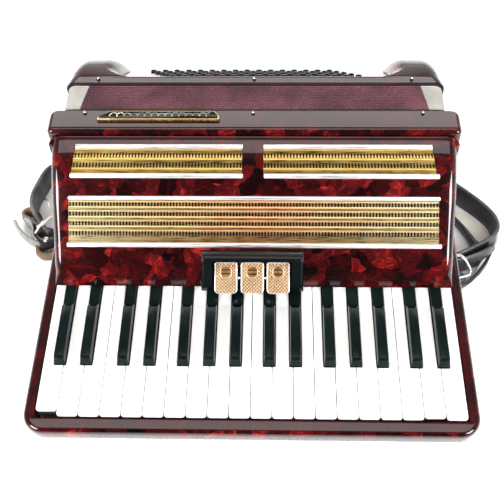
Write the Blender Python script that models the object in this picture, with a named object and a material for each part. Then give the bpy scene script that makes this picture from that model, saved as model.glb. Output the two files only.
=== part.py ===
"""Piano accordion lying on its back: 34 treble keys, three register switches, bellows and 80 bass buttons.

X runs along the keyboard, +Y from the keyboard to the bass side, +Z up to the audience side. The origin is
on the treble casing's flat back. Lengths below are in millimetres; make() turns them into metres.
"""
import math

import bmesh
import bpy
from mathutils import Matrix, Vector

MM = 0.001
GAP = 0.4  # clearance between neighbouring pieces

# Keyboard
WHITE_KEYS = 20
KEY_PITCH = 19.5
KEY_GAP = 0.7
KEY_FRONT, KEY_REAR = -200.0, -56.0
SHORT_KEYS = {0: 4.6, 18: 1.4}  # how far these keys' fronts stand back
KEY_TOP, KEY_UNDER = 80.0, 64.0
BLACK_FRONT = -149.4
BLACK_HEIGHT = 9.6
BLACK_WIDTH = 10.9
BLACK_CAP_REAR = -92.0
BLACK_TAIL_TOP = 84.0
# Each group of black keys: the white key before its first one, and how far each stands off the joint.
BLACK_GROUPS = (
    (1, (-3.6, 1.6)),
    (4, (-2.7, 2.4)),
    (7, (-5.0, -0.2, 4.8)),
    (11, (-2.7, 2.4)),
    (14, (-5.0, 0.0, 5.0)),
    (18, (-2.7, 2.8)),
)
AXLE_Y, AXLE_Z, AXLE_RADIUS = -50.0, 66.0, 2.0
ARM_WHITE_WIDTH, ARM_BLACK_WIDTH = 5.0, 4.0
ARM_UNDER, ARM_TOP = 60.0, 74.0
ARM_REAR = 41.0
PALLET_THICK = 4.0
PALLET_WIDTH = 11.0
WHITE_PALLET = (92.0, 118.0)
BLACK_PALLET = (124.0, 150.0)

# Treble side
CASE_HALF = 200.0
CHAMBER_HALF = 184.0
CASE_WALL = 6.0
CASE_HEIGHT = 185.0
CASE_FRONT, CASE_BACK = -64.0, 73.0
DECK_TOP = 50.0
SOUNDBOARD = 46.0
BED_HALF, BED_FRONT, BED_UNDER, BED_TOP = 207.0, -214.5, 50.4, 77.0
BED_FLOOR = 56.0
CHEEK_END = 10.0
COVER_HALF, COVER_WALL = 194.5, 3.0
COVER_PROFILE = (
    (-66.5, 85.0), (-56.0, 102.5), (-37.0, 121.0), (-7.0, 151.0), (15.0, 169.0), (32.0, 178.0), (43.0, 181.3)
)
COVER_REAR = 45.6
LOWER_GRILLE = (-40.5, -7.0, 178.5)
UPPER_GRILLE = (8.0, 33.0, 10.0, 172.5)
GRILLE_THICK = 1.8  # measured along Z

# Register switches
SWITCH_X = (-25.6, 0.0, 25.0)
SWITCH_WIDTH, SWITCH_LENGTH, SWITCH_THICK = 22.0, 30.0, 2.5
SWITCH_SLOPE = math.radians(35.8)
SWITCH_MIDDLE = (-66.5, 101.0)
SWITCH_TILTS = (0.0, 3.0, 0.0)  # degrees; the middle switch is the one pressed in

# Bellows and bass side
BELLOWS_HALF, BELLOWS_WALL = 188.0, 10.0
BELLOWS_Y = (78.0, 107.0)
BELLOWS_Z = (2.0, 183.0)
FRAME_THICK = 3.8
BASS_FRONT, BASS_REAR, BASS_HALF = 111.4, 190.0, 190.5
BASS_TAPER = 12.0  # how much each end leans in towards the rear, at the top
HORN_START, HORN_DROP = 120.0, 50.0  # the horns' profile is a quarter of an ellipse
HORN_OUTER, HORN_INNER, RIM_ROUND = 22.0, 17.0, 3.0
SCOOP_FRONT, SCOOP_HALF, SCOOP_CORNER = 121.5, 140.0, 18.0
BOARD_TOP, BOARD_FOOT = (121.5, 177.5), (188.0, 125.0)
BOARD_THICK = 4.0
ROWS, COLUMNS = 5, 16
COLUMN_PITCH, ROW_PITCH, ROW_STAGGER = 12.7, 13.0, 6.6
FIRST_BUTTON_X, FIRST_ROW = -84.2, 9.5
BUTTON_RADIUS, BUTTON_PROUD = 3.3, 5.0
BAR_DROP = 12.0
AIR_BUTTON_X, AIR_BUTTON_Z, AIR_BUTTON_RADIUS = 118.0, 108.0, 4.5

PEARL = ("dark_red_pearl", (0.16, 0.012, 0.016), 0.15, 0.0)
WHITE = ("ivory_plastic", (0.88, 0.87, 0.84), 0.25, 0.0)
BLACK = ("black_plastic", (0.01, 0.011, 0.013), 0.25, 0.0)
GOLD = ("gold_mesh", (0.75, 0.5, 0.2), 0.35, 1.0)
STEEL = ("steel", (0.6, 0.6, 0.6), 0.3, 1.0)
WOOD = ("spruce", (0.6, 0.42, 0.24), 0.6, 0.0)
CLOTH = ("maroon_cloth", (0.12, 0.02, 0.04), 0.8, 0.0)
LEATHER = ("black_leather", (0.02, 0.02, 0.022), 0.5, 0.0)


def material_of(look):
    name, colour, roughness, metallic = look
    found = bpy.data.materials.get(name)
    if found:
        return found
    made = bpy.data.materials.new(name)
    made.use_nodes = True
    shader = made.node_tree.nodes["Principled BSDF"]
    shader.inputs["Base Color"].default_value = (*colour, 1.0)
    shader.inputs["Roughness"].default_value = roughness
    shader.inputs["Metallic"].default_value = metallic
    return made


def make(name, bm, look, origin=(0, 0, 0), cutter=False):
    """Turns a bmesh in millimetres into an object in metres whose origin is at the given point."""
    bmesh.ops.recalc_face_normals(bm, faces=bm.faces)
    bmesh.ops.translate(bm, verts=bm.verts, vec=-Vector(origin))
    bmesh.ops.scale(bm, verts=bm.verts, vec=(MM, MM, MM))
    mesh = bpy.data.meshes.new(name)
    bm.to_mesh(mesh)
    bm.free()
    mesh.shade_smooth()
    mesh.set_sharp_from_angle(angle=math.radians(32))
    obj = bpy.data.objects.new(name, mesh)
    obj.location = Vector(origin) * MM
    bpy.context.scene.collection.objects.link(obj)
    mesh.materials.append(material_of(look))
    if cutter:
        obj.hide_render = True
        obj.display_type = "WIRE"
    return obj


def combine(obj, bm, operation):
    """Adds or removes the bmesh's shape with a Boolean modifier."""
    helper = make(f"{obj.name}.{operation.lower()}{len(obj.modifiers)}", bm, STEEL, cutter=True)
    boolean = obj.modifiers.new(operation.title(), "BOOLEAN")
    boolean.operation = operation
    boolean.solver = "EXACT"
    boolean.object = helper


def prism(bm, outline, axis, low, high):
    """Extrudes an outline along an axis. The outline is in the other two axes, in the order X, Y, Z."""
    place = {"X": lambda a, b, t: (t, a, b), "Y": lambda a, b, t: (a, t, b), "Z": lambda a, b, t: (a, b, t)}[axis]
    near = [bm.verts.new(place(a, b, low)) for a, b in outline]
    far = [bm.verts.new(place(a, b, high)) for a, b in outline]
    count = len(outline)
    faces = [bm.faces.new(near), bm.faces.new(far)]
    for i in range(count):
        j = (i + 1) % count
        faces.append(bm.faces.new((near[i], near[j], far[j], far[i])))
    return faces


def box(bm, low, high):
    outline = ((low[0], low[1]), (high[0], low[1]), (high[0], high[1]), (low[0], high[1]))
    return prism(bm, outline, "Z", low[2], high[2])


def boxes(*corners):
    bm = bmesh.new()
    for low, high in corners:
        box(bm, low, high)
    return bm


def rod(bm, start, end, radius, sides):
    """A cylinder from start to end."""
    start, end = Vector(start), Vector(end)
    turn = (end - start).to_track_quat("Z", "Y").to_matrix().to_4x4()
    bmesh.ops.create_cone(
        bm, cap_ends=True, segments=sides, radius1=radius, radius2=radius, depth=(end - start).length,
        matrix=Matrix.Translation((start + end) / 2) @ turn,
    )


def round_edges(bm, chosen, width, segments):
    """Rounds the edges for which chosen(a, b) is true, where a and b are the edge's ends."""
    bmesh.ops.recalc_face_normals(bm, faces=bm.faces)
    edges = [edge for edge in bm.edges if chosen(edge.verts[0].co, edge.verts[1].co)]
    bmesh.ops.bevel(
        bm, geom=edges, offset=width, segments=segments, profile=0.5, affect="EDGES", clamp_overlap=True
    )


def smooth_line(points, steps):
    """A Catmull-Rom curve through the points, with the given number of steps to each span."""
    ends = [points[0], *points, points[-1]]
    line = []
    for p0, p1, p2, p3 in zip(ends, ends[1:], ends[2:], ends[3:]):
        for step in range(steps):
            t = step / steps
            line.append(tuple(
                0.5 * (2 * b + (c - a) * t + (2 * a - 5 * b + 4 * c - d) * t * t + (3 * b - a - 3 * c + d) * t**3)
                for a, b, c, d in zip(p0, p1, p2, p3)
            ))
    return [*line, tuple(points[-1])]


def offset_line(line, distance):
    """The line moved sideways, to the right of its direction."""
    moved = []
    for i, point in enumerate(line):
        before, after = line[max(i - 1, 0)], line[min(i + 1, len(line) - 1)]
        along = Vector((after[0] - before[0], after[1] - before[1])).normalized()
        moved.append((point[0] + along.y * distance, point[1] - along.x * distance))
    return moved


def cover_line(start, end):
    """The cover's outer profile between two distances along Y."""
    line = smooth_line(COVER_PROFILE, 3)

    def height(y):
        for (y0, z0), (y1, z1) in zip(line, line[1:]):
            if y0 <= y <= y1:
                return z0 + (z1 - z0) * (y - y0) / (y1 - y0)
        raise ValueError(y)

    inside = [point for point in line if start + 0.5 < point[0] < end - 0.5]
    return [(start, height(start)), *inside, (end, height(end))]


# Keys


def white_middle(index):
    return (index - (WHITE_KEYS - 1) / 2) * KEY_PITCH


def black_keys():
    """Each black key's middle and the white joint that it stands over, from -X to +X."""
    found = []
    for first, offsets in BLACK_GROUPS:
        for step, offset in enumerate(offsets):
            joint = (first + step - WHITE_KEYS / 2) * KEY_PITCH
            found.append((joint + offset, joint))
    return found


def arm_shape(middle, width, pallet, from_y):
    """A key's arm: over the axle, back under the cover, and up to the pallet that shuts on the soundboard."""
    bm = bmesh.new()
    notch = AXLE_RADIUS + 0.4
    crown = AXLE_Z + notch
    outline = (
        (from_y, ARM_UNDER + 3), (AXLE_Y - notch - 3, ARM_UNDER), (AXLE_Y - notch, ARM_UNDER),
        (AXLE_Y - notch, AXLE_Z), (AXLE_Y - notch / 2, crown), (AXLE_Y + notch / 2, crown),
        (AXLE_Y + notch, AXLE_Z), (AXLE_Y + notch, ARM_UNDER), (ARM_REAR - 6, ARM_UNDER),
        (ARM_REAR, ARM_UNDER + 6), (ARM_REAR, pallet[1] - 4), (ARM_REAR - 3, pallet[1] - 4),
        (ARM_REAR - 6, ARM_TOP + 6), (ARM_REAR - 12, ARM_TOP), (from_y, ARM_TOP),
    )
    prism(bm, outline, "X", middle - width / 2, middle + width / 2)
    return bm


def pallet_shape(middle, pallet):
    bm = bmesh.new()
    rear = SOUNDBOARD - GAP
    box(bm, (middle - PALLET_WIDTH / 2, rear - PALLET_THICK - 1, pallet[0]),
        (middle + PALLET_WIDTH / 2, rear, pallet[1]))
    return bm


def white_key(index, blacks):
    middle = white_middle(index)
    left, right = middle - KEY_PITCH / 2 + KEY_GAP / 2, middle + KEY_PITCH / 2 - KEY_GAP / 2
    clear = BLACK_WIDTH / 2 + 0.5
    notch = BLACK_FRONT - 0.7
    left_side, right_side = [], []
    rear_left, rear_right = left, right
    for x, joint in blacks:
        if abs(joint - (middle - KEY_PITCH / 2)) < 1:
            rear_left = x + clear
            left_side = [(rear_left, notch), (left, notch)]
        if abs(joint - (middle + KEY_PITCH / 2)) < 1:
            rear_right = x - clear
            right_side = [(right, notch), (rear_right, notch)]
    front = KEY_FRONT + SHORT_KEYS.get(index, 0)
    outline = [
        (left, front + 2.4), (left + 0.8, front + 0.8), (left + 2.4, front),
        (right - 2.4, front), (right - 0.8, front + 0.8), (right, front + 2.4),
        *right_side, (rear_right, KEY_REAR), (rear_left, KEY_REAR), *left_side,
    ]
    bm = bmesh.new()
    prism(bm, outline, "Z", KEY_UNDER, KEY_TOP)
    round_edges(bm, lambda a, b: min(a.z, b.z) > KEY_TOP - 0.1 and min(a.y, b.y) < KEY_REAR - 1, 0.8, 2)
    key = make(f"white_key_{index + 1:02d}", bm, WHITE, (middle, AXLE_Y, AXLE_Z))
    reach = COVER_HALF - COVER_WALL - ARM_WHITE_WIDTH / 2 - 0.8
    arm = max(-reach, min(reach, (rear_left + rear_right) / 2))
    combine(key, arm_shape(arm, ARM_WHITE_WIDTH, WHITE_PALLET, -84.0), "UNION")
    combine(key, pallet_shape(middle, WHITE_PALLET), "UNION")


def black_key(index, x, joint):
    top = KEY_TOP + BLACK_HEIGHT
    outline = (
        (BLACK_FRONT, KEY_UNDER), (BLACK_FRONT, KEY_TOP + 1.0), (BLACK_FRONT + 4.5, top), (BLACK_CAP_REAR, top),
        (BLACK_CAP_REAR + 7, BLACK_TAIL_TOP), (KEY_REAR, BLACK_TAIL_TOP), (KEY_REAR, KEY_UNDER),
    )
    bm = bmesh.new()
    half = BLACK_WIDTH / 2
    prism(bm, outline, "X", x - half, x + half)
    for vert in bm.verts:
        lift = max(0.0, vert.co.z - KEY_TOP) / BLACK_HEIGHT
        vert.co.x = x + (vert.co.x - x) * (1 - 0.17 * lift)
    round_edges(bm, lambda a, b: min(a.z, b.z) > KEY_TOP + 0.5 and a.y < KEY_REAR - 1 and b.y < KEY_REAR - 1, 0.8, 2)
    key = make(f"black_key_{index + 1:02d}", bm, BLACK, (x, AXLE_Y, AXLE_Z))
    reach = (BLACK_WIDTH - ARM_BLACK_WIDTH) / 2 - 0.25
    arm = x + max(-reach, min(reach, joint - x))
    combine(key, arm_shape(arm, ARM_BLACK_WIDTH, BLACK_PALLET, -84.0), "UNION")
    combine(key, pallet_shape(joint, BLACK_PALLET), "UNION")


def key_axle():
    bm = bmesh.new()
    reach = BED_HALF - 5.0
    rod(bm, (-reach, AXLE_Y, AXLE_Z), (reach, AXLE_Y, AXLE_Z), AXLE_RADIUS, 12)
    make("key_axle", bm, STEEL, (0, AXLE_Y, AXLE_Z))


def keyboard_bed():
    """The shallow tray that holds the keys: floor, front rim and two cheeks that run on beside the cover."""
    radius, steps = 20.0, 6
    corner = [
        (BED_HALF - radius + radius * math.sin(a), BED_FRONT + radius - radius * math.cos(a))
        for a in (math.pi / 2 * i / steps for i in range(steps + 1))
    ]
    right = [*corner, (BED_HALF, CHEEK_END), (CASE_HALF - 6, CHEEK_END), (CASE_HALF - 6, SOUNDBOARD - GAP)]
    outline = [*right, *((-x, y) for x, y in reversed(right))]
    bm = bmesh.new()
    prism(bm, outline, "Z", BED_UNDER, BED_TOP)
    round_edges(bm, lambda a, b: min(a.z, b.z) > BED_TOP - 0.1 and min(a.y, b.y) < CHEEK_END - 1, 5.0, 3)
    round_edges(bm, lambda a, b: max(a.z, b.z) < BED_UNDER + 0.1 and max(a.y, b.y) < CASE_FRONT - 4, 14.0, 3)
    bed = make("keyboard_bed", bm, PEARL)
    inner = BED_HALF - 10.5
    combine(bed, boxes(((-inner, KEY_FRONT - 1.4, BED_FLOOR), (inner, 60, 100))), "DIFFERENCE")
    combine(bed, boxes(((-230, CHEEK_END - 1, BED_FLOOR), (230, 60, 100))), "DIFFERENCE")
    bore = bmesh.new()
    rod(bore, (-BED_HALF + 4.5, AXLE_Y, AXLE_Z), (BED_HALF - 4.5, AXLE_Y, AXLE_Z), AXLE_RADIUS + GAP, 12)
    combine(bed, bore, "DIFFERENCE")


# Treble casing, cover and grilles


def treble_casing(blacks):
    """An L-shaped box, open towards the bellows, whose upright wall is the soundboard."""
    bm = bmesh.new()
    outline = (
        (CASE_FRONT, 0), (CASE_BACK, 0), (CASE_BACK, CASE_HEIGHT), (SOUNDBOARD, CASE_HEIGHT),
        (SOUNDBOARD, DECK_TOP), (CASE_FRONT, DECK_TOP),
    )
    prism(bm, outline, "X", -CASE_HALF, CASE_HALF)

    def outer(a, b):
        on_top = min(a.z, b.z) > CASE_HEIGHT - 1
        upright = abs(a.x - b.x) < 0.1 and abs(a.y - b.y) < 0.1 and min(a.z, b.z) > DECK_TOP - 1
        across_back = min(a.y, b.y) > CASE_BACK - 0.1
        return on_top and not across_back or upright and max(a.y, b.y) < SOUNDBOARD + 1

    round_edges(bm, lambda a, b: abs(a.x - b.x) < 0.1 and min(a.y, b.y) > CASE_BACK - 0.1, 10.0, 4)
    round_edges(bm, outer, 7.0, 4)
    casing = make("treble_casing", bm, PEARL)
    cavity = bmesh.new()
    prism(
        cavity,
        ((CASE_FRONT + CASE_WALL, CASE_WALL), (CASE_BACK + 5, CASE_WALL), (CASE_BACK + 5, CASE_HEIGHT - CASE_WALL),
         (SOUNDBOARD + 5, CASE_HEIGHT - CASE_WALL), (SOUNDBOARD + 5, DECK_TOP - CASE_WALL),
         (CASE_FRONT + CASE_WALL, DECK_TOP - CASE_WALL)),
        "X", -CHAMBER_HALF, CHAMBER_HALF,
    )
    combine(casing, cavity, "DIFFERENCE")
    holes = bmesh.new()
    places = [(white_middle(i), WHITE_PALLET) for i in range(WHITE_KEYS)]
    places += [(joint, BLACK_PALLET) for _, joint in blacks]
    for x, (low, high) in places:
        box(holes, (x - 4, SOUNDBOARD - 3, low + 5), (x + 4, SOUNDBOARD + 8, high - 5))
    combine(casing, holes, "DIFFERENCE")


def grille_cover():
    """The pearl shell over the key arms, open at the back and below, with windows for the grilles."""
    line = cover_line(COVER_PROFILE[0][0], COVER_PROFILE[-1][0])
    foot = COVER_PROFILE[0]
    outline = [*line, (COVER_REAR - 1, COVER_PROFILE[-1][1] - 1.2), (COVER_REAR, COVER_PROFILE[-1][1] - 4),
               (COVER_REAR, foot[1])]
    bm = bmesh.new()
    prism(bm, outline, "X", -COVER_HALF, COVER_HALF)
    round_edges(
        bm,
        lambda a, b: abs(a.x - b.x) < 0.1 and min(a.z, b.z) > foot[1] + 0.5 and max(a.y, b.y) < COVER_REAR - 1.2
        or abs(a.x - b.x) < 0.1 and min(a.z, b.z) < foot[1] + 0.5 and max(a.z, b.z) > foot[1] + 0.5
        and max(a.y, b.y) < COVER_REAR - 5,
        7.0, 3,
    )
    cover = make("grille_cover", bm, PEARL)
    under = offset_line(line, COVER_WALL)
    start = (under[0][0], foot[1] - 3)
    hollow = bmesh.new()
    prism(hollow, [start, *under, (COVER_REAR + 3, under[-1][1]), (COVER_REAR + 3, foot[1] - 3)], "X",
          -COVER_HALF + COVER_WALL, COVER_HALF - COVER_WALL)
    combine(cover, hollow, "DIFFERENCE")
    y0, y1, half = LOWER_GRILLE
    u0, u1, x0, x1 = UPPER_GRILLE
    windows = boxes(
        ((-half, y0, 100), (half, y1, 200)),
        ((-x1, u0, 140), (-x0, u1, 200)),
        ((x0, u0, 140), (x1, u1, 200)),
    )
    combine(cover, windows, "DIFFERENCE")


def grille(name, start, end, left, right):
    """A thin metal screen that lies flush in one of the cover's windows."""
    line = cover_line(start + GAP, end - GAP)
    bm = bmesh.new()
    under = [(y, z - GRILLE_THICK) for y, z in reversed(line)]
    prism(bm, [*line, *under], "X", left + GAP, right - GAP)
    make(name, bm, GOLD)


def grilles():
    y0, y1, half = LOWER_GRILLE
    u0, u1, x0, x1 = UPPER_GRILLE
    grille("grille_lower", y0, y1, -half, half)
    grille("grille_upper_left", u0, u1, -x1, -x0)
    grille("grille_upper_right", u0, u1, x0, x1)


def slope_point(along, above):
    """A point in the YZ plane of the register switches, measured from the middle of their faces."""
    cos, sin = math.cos(SWITCH_SLOPE), math.sin(SWITCH_SLOPE)
    return (SWITCH_MIDDLE[0] + along * cos - above * sin, SWITCH_MIDDLE[1] + along * sin + above * cos)


def register_housing():
    """The black frame on the front of the cover, around the three switches."""
    outline = (
        (-74.5, 90.0), slope_point(-9.5, 1.0), slope_point(9, 5.5), slope_point(18, 7.5), slope_point(21.5, 5.5),
        (-44.4, 115.8), (-57.3, 103.0), (-64.8, 90.0),
    )
    bm = bmesh.new()
    prism(bm, outline, "X", -49.5, 49.5)
    round_edges(bm, lambda a, b: abs(a.x - b.x) < 0.1 and min(a.y + a.z, b.y + b.z) > 12, 2.0, 2)
    housing = make("register_housing", bm, BLACK)
    opening = bmesh.new()
    reach = SWITCH_LENGTH / 2 + 0.8
    prism(opening, (slope_point(-60, -30), slope_point(-60, 30), slope_point(reach, 30),
                    slope_point(reach, -30)), "X", -38.6, 38.0)
    combine(housing, opening, "DIFFERENCE")


def register_switch(index):
    x = SWITCH_X[index]
    half = SWITCH_LENGTH / 2
    bm = bmesh.new()
    outline = [slope_point(a, b) for a, b in (
        (-half, -SWITCH_THICK), (half, -SWITCH_THICK), (half, -0.8), (half - 1.5, 0), (-half + 1.5, 0), (-half, -0.8)
    )]
    prism(bm, outline, "X", x - SWITCH_WIDTH / 2, x + SWITCH_WIDTH / 2)
    y, z = slope_point(0, -SWITCH_THICK / 2)
    pivot = Vector((x, y, z))
    turn = Matrix.Rotation(math.radians(SWITCH_TILTS[index]), 4, "X")
    bmesh.ops.transform(
        bm, verts=bm.verts, matrix=Matrix.Translation(pivot) @ turn @ Matrix.Translation(-pivot)
    )
    make(f"register_switch_{index + 1}", bm, GOLD, pivot)


def treble_reed_block():
    """The wooden block behind the soundboard that carries the reeds, with a chamber for each."""
    bm = boxes(((3 - CHAMBER_HALF, SOUNDBOARD + 5 + GAP, 88), (CHAMBER_HALF - 3, CASE_BACK - 2, 154)))
    block = make("treble_reed_block", bm, WOOD)
    chambers = bmesh.new()
    for i in range(WHITE_KEYS - 1):
        x = (i - (WHITE_KEYS - 2) / 2) * KEY_PITCH
        box(chambers, (x - 7, 40, 96), (x + 7, 62, 116))
        box(chambers, (x - 7, 40, 126), (x + 7, 62, 146))
    combine(block, chambers, "DIFFERENCE")


# Bellows


def ring(name, look, y0, y1, half, low, high, wall):
    obj = make(name, boxes(((-half, y0, low), (half, y1, high))), look)
    combine(obj, boxes(((-half + wall, y0 - 5, low + wall), (half - wall, y1 + 5, high - wall))), "DIFFERENCE")


def bellows_parts():
    y0, y1 = BELLOWS_Y
    low, high = BELLOWS_Z
    ring("treble_bellows_frame", WOOD, y0 - GAP - FRAME_THICK, y0 - GAP, BELLOWS_HALF + 1, low - 1, high + 1, 13)
    ring("bellows", CLOTH, y0, y1, BELLOWS_HALF, low, high, BELLOWS_WALL)
    ring("bass_bellows_frame", WOOD, y1 + GAP, y1 + GAP + FRAME_THICK - 0.4, BELLOWS_HALF + 1, low - 1, high + 1, 13)


# Bass side


def board_axes():
    """Unit vectors in the YZ plane: down the button board, and square out of it."""
    down = Vector((0, BOARD_FOOT[0] - BOARD_TOP[0], BOARD_FOOT[1] - BOARD_TOP[1])).normalized()
    return down, Vector((0, -down.z, down.y))


def board_point(x, along, above):
    down, out = board_axes()
    return Vector((x, *BOARD_TOP)) + down * along + out * above


def horn_height(y):
    """The height of the bass casing's top, which rounds down to the rear between the buttons and each end."""
    along = min(1.0, max(0.0, (y - HORN_START) / (BASS_REAR - HORN_START)))
    return CASE_HEIGHT - HORN_DROP * (1 - math.sqrt(1 - along**2))


def quarter(steps, first=0.0):
    """Angles from first to a right angle."""
    return [first + (math.pi / 2 - first) * i / steps for i in range(steps + 1)]


def loft(bm, sections, ys):
    """Joins XZ outlines that all have the same number of points, each at its own Y."""
    rings = [[bm.verts.new((x, y, z)) for x, z in section] for section, y in zip(sections, ys)]
    for near, far in zip(rings, rings[1:]):
        for i in range(len(near)):
            j = (i + 1) % len(near)
            bm.faces.new((near[i], near[j], far[j], far[i]))
    bm.faces.new(rings[0])
    bm.faces.new(rings[-1])


def bass_section(y):
    """The casing's outline at one Y: upright low down, leaning in above, with round top corners."""
    t = (y - BASS_FRONT) / (BASS_REAR - BASS_FRONT)
    rear_round = 4.0
    shrink = rear_round - math.sqrt(max(0.0, rear_round**2 - max(0.0, y - BASS_REAR + rear_round) ** 2))
    half, top = BASS_HALF - shrink, horn_height(y) - shrink
    radius = 10 + (HORN_OUTER - 10) * min(1.0, (y - BASS_FRONT) / 12)
    narrow = half - BASS_TAPER * t
    right = [(half, 0), (half, 60), *(
        (narrow - radius + radius * math.cos(a), top - radius + radius * math.sin(a)) for a in quarter(4))]
    return [*right, *((-x, z) for x, z in reversed(right))]


def scoop_section(y):
    """What is cut away at one Y: down to the rim's round edge, then to the board, with the horns curling over."""
    rim = SCOOP_FRONT - RIM_ROUND
    if y < SCOOP_FRONT:
        floor = CASE_HEIGHT - RIM_ROUND + math.sqrt(max(0.0, RIM_ROUND**2 - (y - rim) ** 2))
    else:
        floor = BOARD_TOP[1] + (y - BOARD_TOP[0]) * (BOARD_FOOT[1] - BOARD_TOP[1]) / (BOARD_FOOT[0] - BOARD_TOP[0])
    across = min(SCOOP_CORNER, y - rim)
    half = SCOOP_HALF - SCOOP_CORNER + math.sqrt(max(0.0, SCOOP_CORNER**2 - (SCOOP_CORNER - across) ** 2))
    top = horn_height(y) + 0.3
    curl = RIM_ROUND + (HORN_INNER - RIM_ROUND) * min(1.0, max(0.0, y - SCOOP_FRONT) / 15)
    curl = max(0.1, min(curl, top - floor - 0.2))
    right = [(half, floor), *(
        (half + curl - curl * math.cos(a), top - curl + curl * math.sin(a)) for a in quarter(4)), (half + curl, 230)]
    return [*right, *((-x, z) for x, z in reversed(right))]


def bass_casing():
    """A box open towards the bellows. Its top is scooped between two horns, down to the button board."""
    bm = bmesh.new()
    ys = [BASS_FRONT, 115.4, 119.4, 123.4, 130, 140, 150, 160, 170, 178, 183, 186, 188.2, 189.4, BASS_REAR]
    loft(bm, [bass_section(y) for y in ys], ys)
    casing = make("bass_casing", bm, PEARL)
    scoop = bmesh.new()
    ys = [118.55, 119.5, 120.5, SCOOP_FRONT - 0.1, SCOOP_FRONT, 124, 127, 130, 134, 138, 145, 153, 161, 169, 177, 184,
          BASS_REAR]
    sections = [scoop_section(y) for y in ys]
    loft(scoop, [*sections, sections[-1]], [*ys, BASS_REAR + 5])
    combine(casing, scoop, "DIFFERENCE")
    wall = CASE_WALL
    low_top = board_point(0, 2.2, -BOARD_THICK)
    low_foot = board_point(0, 62, -BOARD_THICK)
    core = bmesh.new()
    prism(
        core,
        ((BASS_FRONT - 5, wall), (BASS_FRONT - 5, low_top.z), (low_top.y, low_top.z), (low_foot.y, low_foot.z),
         (BASS_REAR - wall, 115), (BASS_REAR - wall, wall)),
        "X", -BASS_HALF + wall, BASS_HALF - wall,
    )
    for vert in core.verts:
        vert.co.x -= math.copysign(2.5 + 0.075 * (vert.co.z - wall), vert.co.x)
    combine(casing, core, "DIFFERENCE")
    holes = bmesh.new()
    for row in range(ROWS):
        for column in range(COLUMNS):
            x, along = button_place(row, column)
            rod(holes, board_point(x, along, -12), board_point(x, along, 12), BUTTON_RADIUS + GAP, 8)
    rod(holes, (AIR_BUTTON_X, BASS_REAR - 12, AIR_BUTTON_Z), (AIR_BUTTON_X, BASS_REAR + 5, AIR_BUTTON_Z),
        AIR_BUTTON_RADIUS + GAP, 12)
    combine(casing, holes, "DIFFERENCE")


def button_place(row, column):
    return FIRST_BUTTON_X + column * COLUMN_PITCH - row * ROW_STAGGER, FIRST_ROW + row * ROW_PITCH


def button_row(row):
    """One row of buttons, joined under the board by the bar that carries them."""
    bm = bmesh.new()
    down, out = board_axes()
    first, along = button_place(row, 0)
    last, _ = button_place(row, COLUMNS - 1)
    corners = [board_point(0, along + a, -BAR_DROP - BOARD_THICK + b) for a, b in ((-4, -2), (4, -2), (4, 2), (-4, 2))]
    prism(bm, [(c.y, c.z) for c in corners], "X", first - 6, last + 6)
    obj = make(f"bass_button_row_{row + 1}", bm, BLACK, board_point((first + last) / 2, along, 0))
    stems = bmesh.new()
    for column in range(COLUMNS):
        x, _ = button_place(row, column)
        rod(stems, board_point(x, along, -BAR_DROP - BOARD_THICK), board_point(x, along, BUTTON_PROUD),
            BUTTON_RADIUS, 8)
    combine(obj, stems, "UNION")


def air_button():
    """The thumb button in the rear wall, beside the strap, that lets the bellows move without a note."""
    bm = bmesh.new()
    rod(bm, (AIR_BUTTON_X, BASS_REAR - 12, AIR_BUTTON_Z), (AIR_BUTTON_X, BASS_REAR + 5, AIR_BUTTON_Z),
        AIR_BUTTON_RADIUS, 12)
    make("air_button", bm, STEEL, (AIR_BUTTON_X, BASS_REAR, AIR_BUTTON_Z))


def ribbon(name, path, low, high, thick, look, steps=3):
    """A strap that stands on edge along a smooth path seen from above."""
    line = smooth_line(path, steps)
    bm = bmesh.new()
    outline = [*offset_line(line, thick / 2), *reversed(offset_line(line, -thick / 2))]
    prism(bm, outline, "Z", low, high)
    make(name, bm, look)


def straps():
    wall = BASS_REAR + GAP + 2.4
    side = [(-172, wall), (-158, wall + 0.5), (-122, wall + 14), (-60, wall + 25), (0, wall + 28)]
    ribbon("bass_strap", [*side, *((-x, y) for x, y in reversed(side[:-1]))], 40, 100, 3.0, LEATHER)
    ribbon(
        "shoulder_strap_right",
        ((202.6, 104), (224, 104), (238, 92), (262, 72), (272, 54), (260, 34), (234, 20), (226, 2), (236, -16),
         (232, -34), (214, -38)),
        1, 31, 4.0, LEATHER,
    )
    ribbon(
        "shoulder_strap_left",
        ((-202.6, 120), (-226, 130), (-250, 122), (-262, 98), (-256, 74), (-240, 58), (-240, 42), (-252, 26),
         (-238, 10), (-214, 14)),
        1, 31, 4.0, LEATHER,
    )


def bass_strap_wheel():
    bm = bmesh.new()
    rod(bm, (BASS_HALF + GAP, 160, 46), (BASS_HALF + 8, 160, 46), 11.0, 20)
    make("bass_strap_wheel", bm, STEEL, (BASS_HALF + 4, 160, 46))


def main():
    for obj in list(bpy.data.objects):
        bpy.data.objects.remove(obj, do_unlink=True)
    blacks = black_keys()
    for index in range(WHITE_KEYS):
        white_key(index, blacks)
    for index, (x, joint) in enumerate(blacks):
        black_key(index, x, joint)
    key_axle()
    keyboard_bed()
    treble_casing(blacks)
    grille_cover()
    grilles()
    register_housing()
    for index in range(len(SWITCH_X)):
        register_switch(index)
    treble_reed_block()
    bellows_parts()
    bass_casing()
    for row in range(ROWS):
        button_row(row)
    air_button()
    straps()
    bass_strap_wheel()


main()
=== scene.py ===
"""Looks of the piano accordion: pearl casings, keys, grilles, switches, bellows, buttons and straps.

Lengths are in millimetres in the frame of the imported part; piece() turns them into metres.
"""
import math

import bmesh
import bpy
from mathutils import Matrix, Vector


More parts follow.
